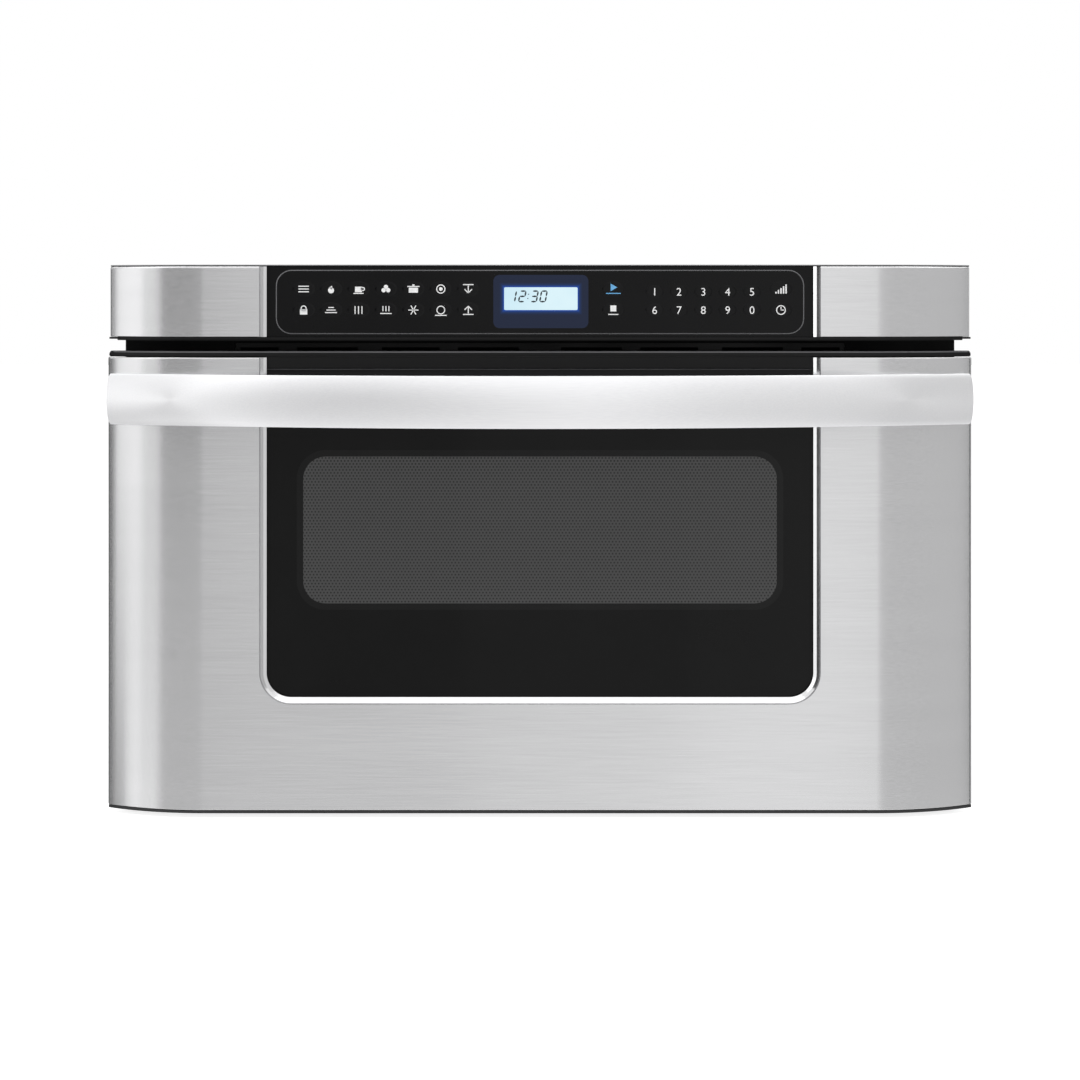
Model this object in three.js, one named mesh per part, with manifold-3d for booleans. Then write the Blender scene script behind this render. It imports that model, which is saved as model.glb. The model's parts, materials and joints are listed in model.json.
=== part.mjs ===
// Microwave drawer, 24-inch class, for building in under a worktop. Millimetres, +Z up.
// The front faces -Y. While it is built, y = 0 is the cabinet's face, z = 0 the surface it stands on
// and x = 0 the middle; the last lines move the whole to the centre of its depth.
import * as THREE from "three";
import { mergeVertices } from "three/addons/utils/BufferGeometryUtils.js";
import Module from "manifold-3d";

const wasm = await Module();
wasm.setup();

// ---- Driving dimensions -------------------------------------------------------------------------

// General
const seat = 0.3; // gap between two pieces that touch
const sheet = 0.9; // chassis and trim sheet metal
const heavySheet = 1.2; // base pan, front frame, slides

// Food space in the drawer
const tubWidth = 440;
const tubDepth = 390;
const tubHeight = 174;
const tubCorner = 22; // radius of its upright corners
const tubRim = 4; // hem round its top edge
const floorPlateThickness = 5;
const floorPlateMargin = 5; // between the plate and the tub's walls

// Oven cavity round the tub
const cavitySheet = 0.8;
const tubSideGap = 8; // tub to cavity, at the sides and the back
const tubUnderGap = 6;
const tubOverGap = 10;
const cavityFlange = 20;
const wellRadius = 75; // raised well in the ceiling, for the stirrer
const wellHeight = 22;

// Chassis
const chassisWidth = 552;
const chassisHeight = 370;
const chassisDepth = 575;
const underCavity = 76; // height of the cavity's underside, over slides and drive
const panFlange = 50; // upturned sides of the base pan
const cornerBend = 5; // bend radius of the wrap's top edges

// Front frame, against the cabinet's face
const frameOverhang = 16.6; // frame beyond the chassis, at each side
const frameDepth = 10;
const frameBottom = 2;
const frameTop = 330.7;
const frameHeadTop = 374; // plate behind the control panel
const mountFlange = 15; // flange that the mounting screws go through

// Drawer travel and slides
const drawerTravel = 380;
const slideLength = 390;
const slideHeight = 40;
const slideDepth = 12;
const slideBottom = 8;
const slideStart = 6; // from the cabinet's face to the slides' front ends
const slidePlay = 0.4; // running gap between two members
const armSheet = 2;

// Drive
const gearModule = 2;
const pinionTeeth = 12;
const pinionY = 32;
const rackHeight = 10;
const rackBottom = 36;
const rackBack = 11.5; // thickness of the rack behind the tooth roots
const backlash = 0.5;
const pressureAngle = 20; // degrees

// Curved front: flat in the middle, bent back at both ends
const frontPlane = -40;
const frontWidth = 606.4;
const frontFlatWidth = 466;
const frontSetBack = 20; // how far the ends stand behind the middle
const frontBottom = 3;
const bottomTrimHeight = 2.4;
const skinTop = 319.2;
const topTrimHeight = 4.4;
const skinReturn = -14; // y where the skin's ends stop
const corePlane = -12; // back of the front core

// Glass and window
const glassWidth = 379;
const glassBottom = 83.8;
const glassTop = 311.4;
const glassCorner = 16.6;
const glassThickness = 4;
const glassRecess = 2.5; // glass stands this far behind the front plane
const bevelWidth = 5.5; // bevelled rim round the glass
const windowWidth = 328.8;
const windowBottom = 148.4;
const windowTop = 250.4;
const windowCorner = 15.6;

// Inner panel and its choke
const panelGap = 0.5; // closed drawer to front frame
const panelDepth = 12;
const panelFlange = 24; // panel beyond the cavity mouth
const chokeWidth = 14;
const chokeOffset = 4; // cavity mouth to choke

// Handle
const handleInset = 0.1; // handle's ends inside the front's ends
const handleReach = 50; // front plane to the handle's middle
const handleSag = 62; // how far the handle's ends stand behind its middle
const handleHeight = 35.7;
const handleCentre = 289.9;
const handleThickness = 9;
const handleCrown = 3; // bulge of its face
const mountInset = 34; // handle end to its studs
const studRadius = 4;
const studPitch = 16;

// Control panel
const panelBottom = 333.5;
const panelTop = 383.2;
const panelInset = 1.8; // panel's ends inside the drawer front's ends
const housingInset = 5.4; // housing inside the panel's ends
const housingBottom = 331;
const housingWall = 2.5;
const lipHeight = 1.3;
const overlayThickness = 3;
const displayWidth = 66;
const displayHeight = 37;
const displayCentre = 358;
const displayDepth = 9;

// ---- Sizes that follow --------------------------------------------------------------------------

const tubHalf = tubWidth / 2;
const mouthHalf = tubHalf + sheet + tubSideGap;
const cavityFloor = underCavity + cavitySheet;
const tubBottom = cavityFloor + tubUnderGap;
const tubTop = tubBottom + sheet + tubHeight;
const cavityCeiling = tubTop + tubOverGap;
const frameFront = -frameDepth;
const panelBack = frameFront - panelGap;
const panelFront = panelBack - panelDepth;
const tubFront = panelBack + seat;
const tubBack = tubFront + tubDepth;
const cavityBack = tubBack + sheet + tubSideGap;
const cavityTop = cavityCeiling + cavitySheet;
const wellTop = cavityTop + wellHeight;
const wellY = tubDepth / 2;
const chassisHalf = chassisWidth / 2;
const frontHalf = frontWidth / 2;
const flatHalf = frontFlatWidth / 2;
const frameHalf = chassisHalf + frameOverhang;
const panelEnd = frontHalf - panelInset;
const housingHalf = panelEnd - housingInset;
const endRun = frontHalf - flatHalf;
const endRadius = (endRun * endRun + frontSetBack * frontSetBack) / (2 * frontSetBack);
const coreBottom = frontBottom + bottomTrimHeight + seat;
const coreTop = skinTop - seat;
const glassHalf = glassWidth / 2;
const bezelHalf = glassHalf + bevelWidth;
const glassFront = frontPlane + glassRecess;
const glassBack = glassFront + glassThickness;
const panFlangeOuter = chassisHalf - sheet - seat;
const slideWeb = panFlangeOuter - sheet - seat; // outer face of the slides, from the middle
const slideMiddle = slideBottom + slideHeight / 2;
const armOuter = slideWeb - slideDepth - 1;
const pitchRadius = (gearModule * pinionTeeth) / 2;
const toothPitch = Math.PI * gearModule;
const pinionX = 20;
const rackPitchX = pinionX - pitchRadius;
const barY = slideStart + slideLength + 4; // cross bar behind the slides

// ---- Shapes and solids --------------------------------------------------------------------------

// Merge shared corners and drop the empty triangles that a pole leaves.
function weld(geometry) {
  const bare = geometry.clone();
  bare.deleteAttribute("normal");
  bare.deleteAttribute("uv");
  const merged = mergeVertices(bare, 1e-4);
  const kept = [];
  const index = merged.index.array;
  for (let i = 0; i < index.length; i += 3) {
    const [a, b, c] = [index[i], index[i + 1], index[i + 2]];
    if (a !== b && b !== c && c !== a) kept.push(a, b, c);
  }
  merged.setIndex(kept);
  return merged;
}

function toSolid(geometry) {
  const merged = weld(geometry);
  return new wasm.Manifold(new wasm.Mesh({
    numProp: 3,
    vertProperties: new Float32Array(merged.attributes.position.array),
    triVerts: new Uint32Array(merged.index.array),
  }));
}

function toGeometry(solid) {
  const mesh = solid.getMesh();
  const geometry = new THREE.BufferGeometry();
  geometry.setAttribute("position", new THREE.BufferAttribute(mesh.vertProperties, 3));
  geometry.setIndex(new THREE.BufferAttribute(mesh.triVerts, 1));
  return geometry;
}

function cut(body, ...tools) {
  let solid = toSolid(body);
  for (const tool of tools) solid = solid.subtract(toSolid(tool));
  return toGeometry(solid);
}

function join(body, ...others) {
  let solid = toSolid(body);
  for (const other of others) solid = solid.add(toSolid(other));
  return toGeometry(solid);
}

// A rectangular block between two values along each axis.
function block(x0, x1, y0, y1, z0, z1) {
  const box = new THREE.BoxGeometry(x1 - x0, y1 - y0, z1 - z0);
  return box.translate((x0 + x1) / 2, (y0 + y1) / 2, (z0 + z1) / 2);
}

// The same block on the other side of the middle plane.
function sideBlock(side, x0, x1, y0, y1, z0, z1) {
  return side > 0 ? block(x0, x1, y0, y1, z0, z1) : block(-x1, -x0, y0, y1, z0, z1);
}

// An outline seen from above (x, y), raised from z0 to z1.
function raise(shape, z0, z1, curveSegments = 5) {
  const settings = { depth: z1 - z0, bevelEnabled: false, curveSegments };
  return new THREE.ExtrudeGeometry(shape, settings).translate(0, 0, z0);
}

// An outline seen from the front (x, z), carried back from y0 to y1.
function carry(shape, y0, y1, curveSegments = 5) {
  const settings = { depth: y1 - y0, bevelEnabled: false, curveSegments };
  return new THREE.ExtrudeGeometry(shape, settings).rotateX(Math.PI / 2).translate(0, y1, 0);
}

// An outline seen from the side (y, z), carried across from x0 to x1.
function span(shape, x0, x1, curveSegments = 5) {
  const settings = { depth: x1 - x0, bevelEnabled: false, curveSegments };
  const turn = new THREE.Matrix4().makeBasis(
    new THREE.Vector3(0, 1, 0),
    new THREE.Vector3(0, 0, 1),
    new THREE.Vector3(1, 0, 0),
  );
  return new THREE.ExtrudeGeometry(shape, settings).applyMatrix4(turn).translate(x0, 0, 0);
}

// A rectangle with one radius at its four corners, or at the lower or upper two only.
function roundedRect(x0, x1, y0, y1, lower, upper = lower) {
  const shape = new THREE.Shape();
  shape.moveTo(x0 + lower, y0);
  shape.lineTo(x1 - lower, y0);
  if (lower > 0) shape.absarc(x1 - lower, y0 + lower, lower, -Math.PI / 2, 0);
  shape.lineTo(x1, y1 - upper);
  if (upper > 0) shape.absarc(x1 - upper, y1 - upper, upper, 0, Math.PI / 2);
  shape.lineTo(x0 + upper, y1);
  if (upper > 0) shape.absarc(x0 + upper, y1 - upper, upper, Math.PI / 2, Math.PI);
  shape.lineTo(x0, y0 + lower);
  if (lower > 0) shape.absarc(x0 + lower, y0 + lower, lower, Math.PI, Math.PI * 1.5);
  return shape;
}

// A long slot with chamfered ends.
function slotOutline(x0, x1, y0, y1) {
  const chamfer = Math.min(x1 - x0, y1 - y0) / 3;
  return polygon([
    [x0 + chamfer, y0], [x1 - chamfer, y0], [x1, y0 + chamfer], [x1, y1 - chamfer],
    [x1 - chamfer, y1], [x0 + chamfer, y1], [x0, y1 - chamfer], [x0, y0 + chamfer],
  ]);
}

function polygon(points) {
  return new THREE.Shape(points.map(([x, y]) => new THREE.Vector2(x, y)));
}

// A round bar along z, between two heights.
function rod(radius, z0, z1, segments = 20) {
  const bar = new THREE.CylinderGeometry(radius, radius, z1 - z0, segments);
  return bar.rotateX(Math.PI / 2).translate(0, 0, (z0 + z1) / 2);
}

// A round bar along y.
function rodY(radius, x, z, y0, y1, segments = 16) {
  const bar = new THREE.CylinderGeometry(radius, radius, y1 - y0, segments);
  return bar.translate(x, (y0 + y1) / 2, z);
}

// Turn every face outwards, if the signed volume says that they point inwards.
function facingOut(geometry) {
  const { array } = geometry.attributes.position;
  const index = geometry.index.array;
  const corner = (i) => new THREE.Vector3().fromArray(array, index[i] * 3);
  let volume = 0;
  for (let i = 0; i < index.length; i += 3) {
    volume += corner(i).dot(corner(i + 1).cross(corner(i + 2)));
  }
  if (volume < 0) geometry.setIndex(Array.from(index).reverse());
  return geometry;
}

// A profile (radius, height) turned about the z axis.
function turned(profile, segments = 32) {
  const points = profile.map(([r, z]) => new THREE.Vector2(r, z));
  return facingOut(new THREE.LatheGeometry(points, segments).rotateX(Math.PI / 2));
}

// A skin over a row of sections that all have the same number of points, closed at both ends.
function loft(sections) {
  const size = sections[0].length;
  const positions = sections.flat().flatMap((p) => [p[0], p[1], p[2]]);
  const index = [];
  for (let s = 0; s + 1 < sections.length; s += 1) {
    for (let i = 0; i < size; i += 1) {
      const next = (i + 1) % size;
      const [a, b] = [s * size + i, s * size + next];
      const [c, d] = [a + size, b + size];
      index.push(a, b, d, a, d, c);
    }
  }
  const last = (sections.length - 1) * size;
  for (let i = 1; i + 1 < size; i += 1) {
    index.push(0, i + 1, i);
    index.push(last, last + i, last + i + 1);
  }
  const geometry = new THREE.BufferGeometry();
  geometry.setAttribute("position", new THREE.Float32BufferAttribute(positions, 3));
  geometry.setIndex(index);
  return facingOut(geometry);
}

// ---- The curved front, seen from above ----------------------------------------------------------

// Depth of the front's outer face at x, moved back by an offset.
function frontY(x, offset = 0) {
  const past = Math.max(0, Math.abs(x) - flatHalf);
  const radius = endRadius - offset;
  return frontPlane + endRadius - Math.sqrt(radius * radius - past * past);
}

// Points along the front from one x to another, with the ends' arcs in short steps.
function frontLine(x0, x1, offset = 0) {
  const steps = 9;
  const stops = [x0, x1, -flatHalf, flatHalf];
  for (let i = 1; i < steps; i += 1) {
    const past = endRun * (i / steps);
    stops.push(flatHalf + past, -flatHalf - past);
  }
  const inside = [...new Set(stops)].filter((x) => x >= x0 && x <= x1);
  return inside.sort((a, b) => a - b).map((x) => [x, frontY(x, offset)]);
}

// The whole front as a plan outline: its face at an offset, its half width, and its straight back.
function frontOutline(half, offset, back) {
  return polygon([...frontLine(-half, half, offset), [half, back], [-half, back]]);
}

// ---- The assembly -------------------------------------------------------------------------------

const drawerUnit = new THREE.Group();
const chassis = new THREE.Group();
const drawer = new THREE.Group();
const movers = new THREE.Group();
drawerUnit.add(chassis, drawer, movers);

const finishes = {
  stainless: { color: 0xc9c9cb, roughness: 0.3, metalness: 1 },
  polished: { color: 0xe2e2e5, roughness: 0.2, metalness: 1 },
  galvanised: { color: 0xa9adb0, roughness: 0.5, metalness: 0.9 },
  enamel: { color: 0xb9b7b0, roughness: 0.35, metalness: 0.1 },
  blackMetal: { color: 0x0d0d0e, roughness: 0.55, metalness: 0.3 },
  blackPlastic: { color: 0x161617, roughness: 0.6, metalness: 0 },
  palePlastic: { color: 0xd8d5cb, roughness: 0.55, metalness: 0 },
  blackGlass: { color: 0x1b1b1c, roughness: 0.08, metalness: 0 },
  glassCeramic: { color: 0xe6e4dc, roughness: 0.25, metalness: 0 },
  screenMetal: { color: 0x454545, roughness: 0.5, metalness: 0.5 },
  copper: { color: 0x8c4a22, roughness: 0.4, metalness: 0.9 },
  laminate: { color: 0x4d4d50, roughness: 0.5, metalness: 0.7 },
  board: { color: 0x2c5a33, roughness: 0.6, metalness: 0 },
  aluminium: { color: 0xb4b7ba, roughness: 0.4, metalness: 1 },
  nylon: { color: 0xe9e7df, roughness: 0.5, metalness: 0 },
  mica: { color: 0xcfc3a4, roughness: 0.6, metalness: 0 },
  display: { color: 0x2b3247, roughness: 0.3, metalness: 0 },
};

function piece(group, name, finish, geometry, x = 0, y = 0, z = 0) {
  const mesh = new THREE.Mesh(weld(geometry), new THREE.MeshStandardMaterial(finishes[finish]));
  mesh.name = name;
  mesh.position.set(x, y, z);
  group.add(mesh);
}

// A pair of pieces, one on each side; the builder function is given +1 for right and -1 for left.
function pair(group, name, finish, build) {
  piece(group, `${name}_right`, finish, build(1));
  piece(group, `${name}_left`, finish, build(-1));
}

// ---- Chassis ------------------------------------------------------------------------------------

const wrapInner = chassisHalf - sheet;
const bayBack = chassisDepth - sheet; // inner face of the rear panel
const seatedTop = cavityTop + seat;

// Floor with upturned sides that carry the slides, and two long stiffening beads.
function makeBasePan() {
  const web = panFlangeOuter - heavySheet;
  const profile = polygon([
    [-panFlangeOuter, 0], [panFlangeOuter, 0], [panFlangeOuter, panFlange], [web, panFlange],
    [web, heavySheet], [-web, heavySheet], [-web, panFlange], [-panFlangeOuter, panFlange],
  ]);
  const slots = [];
  for (let row = 0; row < 6; row += 1) {
    const y = 440 + row * 18;
    slots.push(raise(slotOutline(60, 130, y, y + 6), -1, heavySheet + 1));
  }
  return cut(carry(profile, seat, bayBack - seat), ...slots);
}

// Inverted U over the top and both sides, with bent top corners.
function makeOuterWrap() {
  const outer = roundedRect(-chassisHalf, chassisHalf, seat, chassisHeight, 0, cornerBend);
  const inner = roundedRect(
    -wrapInner, wrapInner, -1, chassisHeight - sheet, 0, cornerBend - sheet);
  const louvres = [];
  for (const side of [-1, 1]) {
    for (let row = 0; row < 7; row += 1) {
      const y = 430 + row * 16;
      const opening = slotOutline(y, y + 6, 90, 170);
      louvres.push(span(opening, side * chassisHalf - 3, side * chassisHalf + 3));
    }
  }
  return cut(carry(outer, seat, bayBack - seat), carry(inner, 0, chassisDepth), ...louvres);
}

const fanX = 165;
const fanGap = 15.1; // fan's shroud to the wrap's top
const fanOpening = 54;
const shroud = 132;
const fanZ = chassisHeight - sheet - fanGap - shroud / 2;
const shroudDepth = 42;
const bushX = -225;
const bushZ = chassisHeight - 50;
const bushHole = 11;

function makeRearPanel() {
  const edge = wrapInner - seat;
  const top = chassisHeight - sheet - seat;
  const panel = carry(roundedRect(-edge, edge, heavySheet + seat, top, 0, cornerBend), bayBack,
    chassisDepth);
  const openings = [rodY(bushHole, bushX, bushZ, 0, chassisDepth + 1, 20)];
  const pitch = 12;
  for (let z = fanZ - fanOpening + pitch / 2; z < fanZ + fanOpening; z += pitch) {
    const half = Math.sqrt(fanOpening * fanOpening - (z - fanZ) * (z - fanZ));
    const slot = slotOutline(fanX - half, fanX + half, z - 2.5, z + 2.5);
    openings.push(carry(slot, bayBack - 1, chassisDepth + 1));
  }
  return cut(panel, ...openings);
}

// Rubber bush in the rear panel, where the supply lead goes in.
function makeInletBush() {
  const bore = 5;
  const collar = 14;
  const neck = bushHole - seat;
  const back = sheet + seat;
  return turned([
    [bore, -5], [collar, -5], [collar, -seat], [neck, -seat], [neck, back], [collar, back],
    [collar, back + 3], [bore + 3, back + 7], [bore, back + 7], [bore, -5],
  ], 20).rotateX(-Math.PI / 2);
}

const slotSide = slideWeb + 1;
const slotInner = armOuter - armSheet - 2;
const hookX = 264;
const hookZ = 205;
const hookHeight = 8;
const grilleHalf = 215;
const grilleBottom = 311;
const grilleTop = 329;

// Pressed frame: front face, side walls, a rear flange for the mounting screws, a collar round the
// cavity's mouth, and a flat head that carries the control panel.
function makeFrontFrame() {
  const half = frameHalf;
  const wall = heavySheet;
  const shell = block(-half, half, frameFront, 0, frameBottom, frameTop);
  const inside = block(-half + wall, half - wall, frameFront + wall, -wall,
    frameBottom + wall, frameTop - wall);
  const backX = half - mountFlange;
  const backOpening = block(-backX, backX, -wall - 1, 1, frameBottom + wall, frameTop - wall);
  const collarHalf = mouthHalf + wall;
  const collar = block(-collarHalf, collarHalf, frameFront, 0, cavityFloor - wall,
    cavityCeiling + wall);
  const mouth = block(-mouthHalf, mouthHalf, frameFront - 1, 1, cavityFloor, cavityCeiling);
  const head = block(-half, half, -wall, 0, frameTop - 2 * wall, frameHeadTop);
  const headOpening = block(-grilleHalf, grilleHalf, -wall - 1, 1, panelBottom + 12,
    frameHeadTop - 12);
  const frontOpenings = [
    block(-grilleHalf, grilleHalf, frameFront - 1, 0, grilleBottom, grilleTop),
    block(rackPitchX - gearModule - rackBack - 4, rackPitchX + gearModule + 2, frameFront - 1, 1,
      rackBottom - 2, rackBottom + rackHeight + 2),
  ];
  for (const side of [-1, 1]) {
    frontOpenings.push(
      sideBlock(side, slotInner, slotSide, frameFront - 1, 1, slideBottom - 2,
        slideBottom + slideHeight + 2),
      sideBlock(side, hookX - 5, hookX + 5, frameFront - 1, 1, hookZ - 4, hookZ + hookHeight + 4),
    );
  }
  const pressed = join(cut(shell, inside, backOpening), collar, head);
  return cut(pressed, mouth, headOpening, ...frontOpenings);
}

// Louvred strip that lets the cooling air out below the control panel. Its blades fall towards the
// back by more than their pitch, so that nobody can look through it.
function makeVentGrille() {
  const x = grilleHalf - seat;
  const z0 = grilleBottom + seat;
  const z1 = grilleTop - seat;
  const front = frameFront + seat;
  const depth = 5;
  const bars = [[-0.83, 13], [-0.56, 17], [-0.3, 13], [0, 30], [0.3, 13], [0.56, 17], [0.83, 13]];
  const cells = [];
  let left = -x + 3;
  for (const [place, width] of [...bars, [1, 6]]) {
    const right = place < 1 ? place * x - width / 2 : x - 3;
    cells.push(block(left, right, front - 1, front + depth + 1, z0 + 3, z1 - 3));
    left = right + width;
  }
  const count = 3;
  const pitch = (z1 - z0 - 6) / count;
  const blades = [];
  for (let i = 0; i < count; i += 1) {
    const low = z0 + 3 + i * pitch - 0.4;
    const high = low + pitch + 0.8;
    const blade = polygon([
      [front + 0.3, high], [front + depth - 1.2, low], [front + depth - 0.3, low],
      [front + 1.2, high],
    ]);
    blades.push(span(blade, -x + 1, x - 1));
  }
  return join(cut(block(-x, x, front, front + depth, z0, z1), ...cells), ...blades);
}

const guideX = 42; // half width of the waveguide
const guideFront = wellY - 60;
const sourceY = cavityBack + cavitySheet + 46; // magnetron's axis
const guideBack = sourceY + 48;
const guideBottom = wellTop + seat;
const stirrerMotorHeight = 20;
const motorHeadroom = 18; // stirrer motor to the wrap's top
const guideTop = chassisHeight - sheet - motorHeadroom - stirrerMotorHeight - seat;
const guideHeight = guideTop - guideBottom;
const feedRadius = 34; // opening from the waveguide into the well
const antennaHole = 15;
const stirrerHole = 5;
const lampX = -150;
const lampY = 90;
const lampHole = 12;

// Welded steel cavity, open at the front, with a raised well for the stirrer.
function makeOvenCavity() {
  const t = cavitySheet;
  const half = mouthHalf + t;
  const front = seat;
  const box = block(-half, half, front, cavityBack + t, underCavity, cavityTop);
  const flangeHalf = mouthHalf + cavityFlange;
  const flange = block(-flangeHalf, flangeHalf, front, front + t, cavityFloor - cavityFlange,
    cavityCeiling + cavityFlange);
  const well = rod(wellRadius + t, cavityCeiling, wellTop, 32).translate(0, wellY, 0);
  const space = block(-mouthHalf, mouthHalf, front - 1, cavityBack, cavityFloor, cavityCeiling);
  const wellSpace = rod(wellRadius, cavityCeiling - 1, wellTop - t, 32).translate(0, wellY, 0);
  const feed = rod(feedRadius, wellTop - 2 * t, wellTop + 1).translate(0, wellY, 0);
  const lamp = rod(lampHole, cavityCeiling - 1, cavityTop + 1).translate(lampX, lampY, 0);
  return cut(join(box, flange, well), space, wellSpace, feed, lamp);
}

// Lamp holder on the cavity's ceiling, with the bulb hanging in the hole.
function makeCavityLamp() {
  return turned([
    [0, -3], [5, -2.6], [8, -0.5], [8, 3], [16, 3], [16, 5], [12, 7], [12, 26], [9, 30],
    [0, 30],
  ], 16);
}

function makeStirrerCover() {
  const tabs = [];
  for (let i = 0; i < 3; i += 1) {
    const tab = raise(roundedRect(wellRadius - 4, wellRadius + 12, -7, 7, 4), 0, 1.5, 2);
    tabs.push(tab.rotateZ((i * 2 * Math.PI) / 3));
  }
  return join(rod(wellRadius + 4, 0, 1.5, 32), ...tabs);
}

// Four-bladed reflector on a plastic shaft that reaches up through the waveguide.
function makeStirrerBlade() {
  const hub = wellHeight / 2;
  const shaftTop = guideTop - cavityCeiling + 3;
  const blades = [];
  for (let i = 0; i < 4; i += 1) {
    const tilt = THREE.MathUtils.degToRad(i % 2 ? 10 : -10);
    const blade = block(8, 62, -15, 15, -0.6, 0.6).rotateX(tilt).translate(0, 0, hub);
    blades.push(blade.rotateZ((i * Math.PI) / 2));
  }
  return join(rod(12, hub - 2, hub + 2), rod(3, hub - 5, shaftTop, 16), ...blades);
}

function makeStirrerMotor() {
  const top = stirrerMotorHeight;
  const can = turned([[4, 0], [24, 0], [24, top - 6], [22, top - 4], [4, top - 4], [4, 0]], 24);
  const lid = turned([[0, top - 5], [22, top - 5], [22, top - 2], [20, top], [0, top]], 24);
  const ears = block(-33, 33, -6, 6, 0, 1.5);
  return cut(join(can, lid, ears), rod(4, -1, 8, 16));
}

function makeWaveguide() {
  const t = sheet;
  const tube = block(-guideX, guideX, guideFront, guideBack, guideBottom, guideTop);
  const inside = block(-guideX + t, guideX - t, guideFront + t, guideBack - t, guideBottom + t,
    guideTop - t);
  const feed = rod(feedRadius, guideBottom - 1, guideBottom + 2 * t).translate(0, wellY, 0);
  const shaft = rod(stirrerHole, guideTop - 2 * t, guideTop + 1).translate(0, wellY, 0);
  const antenna = rod(antennaHole, guideBottom - 1, guideBottom + 2 * t);
  return cut(tube, inside, feed, shaft, antenna.translate(0, sourceY, 0));
}

const yokeHalf = 46;
const yokeDepth = 76;
const yokeHeight = 88;
const yokeSheet = 2;

// U-shaped yoke with its lid, open at front and back so that air passes the fins.
function makeMagnetronYoke() {
  const box = block(-yokeHalf, yokeHalf, -yokeDepth / 2, yokeDepth / 2, -yokeHeight, 0);
  const inner = yokeHalf - yokeSheet;
  const inside = block(-inner, inner, -yokeDepth, yokeDepth, -yokeHeight + yokeSheet, -yokeSheet);
  return cut(box, inside, rod(antennaHole, -yokeSheet - 1, 1));
}

// Copper anode between two ring magnets, with its cooling fins, filter box and antenna.
function makeMagnetronAnode() {
  const low = -yokeHeight + yokeSheet + seat;
  const high = -yokeSheet - seat;
  const magnet = 12;
  const parts = [
    rod(27, low, low + magnet),
    rod(27, high - magnet, high),
    rod(9, high - 1, guideHeight * 0.6, 20),
  ];
  const finStart = low + magnet + 5;
  const finEnd = high - magnet - 5;
  const fins = 6;
  for (let i = 0; i < fins; i += 1) {
    const z = finStart + ((finEnd - finStart) * i) / (fins - 1);
    const half = yokeHalf - yokeSheet - 1;
    parts.push(block(-half, half, -30, 30, z - 0.5, z + 0.5));
  }
  return join(rod(19, low + 1, high - 1), ...parts);
}

const coreWide = 108;
const coreHigh = 90;
const coreStack = 62;
const limb = 18;
const coilGap = seat;
const coilProud = 20; // coils stand this far out of the core, front and back

// Laminated core with two windows and its mounting feet.
function makeTransformerCore() {
  const half = coreWide / 2;
  const windowWide = half - limb - limb / 2;
  const body = block(-half, half, -coreStack / 2, coreStack / 2, 0, coreHigh);
  const holes = [-1, 1].map((side) =>
    sideBlock(side, limb / 2, limb / 2 + windowWide, -coreStack, coreStack, limb,
      coreHigh - limb));
  const feet = block(-half - 12, half + 12, -coreStack / 2 + 6, coreStack / 2 - 6, 0, 3);
  return join(cut(body, ...holes), feet);
}

// Primary and secondary coils on the middle limb, held by their former.
function makeTransformerWindings() {
  const half = coreWide / 2 - limb - coilGap;
  const inner = limb / 2 + coilGap;
  const low = limb + coilGap;
  const high = coreHigh - limb - coilGap;
  const outerY = coreStack / 2 + coilProud;
  const outline = roundedRect(-half, half, -outerY, outerY, coilProud - 4);
  const bore = block(-inner, inner, -coreStack / 2 - coilGap, coreStack / 2 + coilGap, low - 1,
    high + 1);
  const middle = low + (high - low) * 0.6;
  const groove = cut(raise(outline, middle - 1.5, middle + 1.5),
    raise(roundedRect(-half + 3, half - 3, -outerY + 3, outerY - 3, coilProud - 7), middle - 2,
      middle + 2));
  return cut(raise(outline, low, high), bore, groove);
}

// Oval can with two terminals, held to the floor by its clip.
function makeCapacitor() {
  const can = roundedRect(-25, 25, -16, 16, 15.9);
  const clip = roundedRect(-27, 27, -18, 18, 17.9);
  return join(
    raise(can, 0, 96, 4),
    raise(clip, 24, 36, 4),
    block(-40, 40, -8, 8, 0, 2),
    sideBlock(1, 25, 27, -8, 8, 1, 30),
    sideBlock(-1, 25, 27, -8, 8, 1, 30),
    rod(4, 95, 100, 8).translate(-11, 0, 0),
    rod(4, 95, 100, 8).translate(11, 0, 0),
    block(-12, -10, -4, 4, 99, 108),
    block(10, 12, -4, 4, 99, 108),
  );
}

// Supply filter: a small board on spacers, with a coil, two capacitors and a fuse.
function makeFilterBoard() {
  const spacers = [];
  for (const x of [-38, 38]) {
    for (const z of [-24, 24]) spacers.push(rodY(3, x, z, -8, 0, 6));
  }
  const coil = rodY(17, -20, 4, -30, -9, 16);
  return join(
    block(-44, 44, -10, -8, -30, 30),
    coil,
    block(6, 32, -26, -9, 6, 20),
    block(6, 32, -22, -9, -14, 0),
    block(-34, -8, -17, -9, -26, -18),
    ...spacers,
  );
}

const fanDepth = 22;
const fanRadius = fanOpening - 3;
const motorGap = 8;

// Square shroud round the wheel, with a three-armed holder for the motor.
function makeFanHousing() {
  const half = shroud / 2;
  const shell = carry(roundedRect(-half, half, -half, half, 10), -shroudDepth, 0, 5);
  const bore = rodY(fanOpening, 0, 0, -shroudDepth - 1, 1, 32);
  const arms = [];
  for (let i = 0; i < 3; i += 1) {
    const arm = block(14, fanOpening + 3, -shroudDepth, -shroudDepth + 3, -4, 4);
    arms.push(arm.rotateY((i * 2 * Math.PI) / 3 + Math.PI / 6));
  }
  const hub = rodY(20, 0, 0, -shroudDepth, -shroudDepth + 3, 16);
  const shaftHole = rodY(4, 0, 0, -shroudDepth - 1, -shroudDepth + 4);
  return cut(join(cut(shell, bore), hub, ...arms), shaftHole);
}

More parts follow.
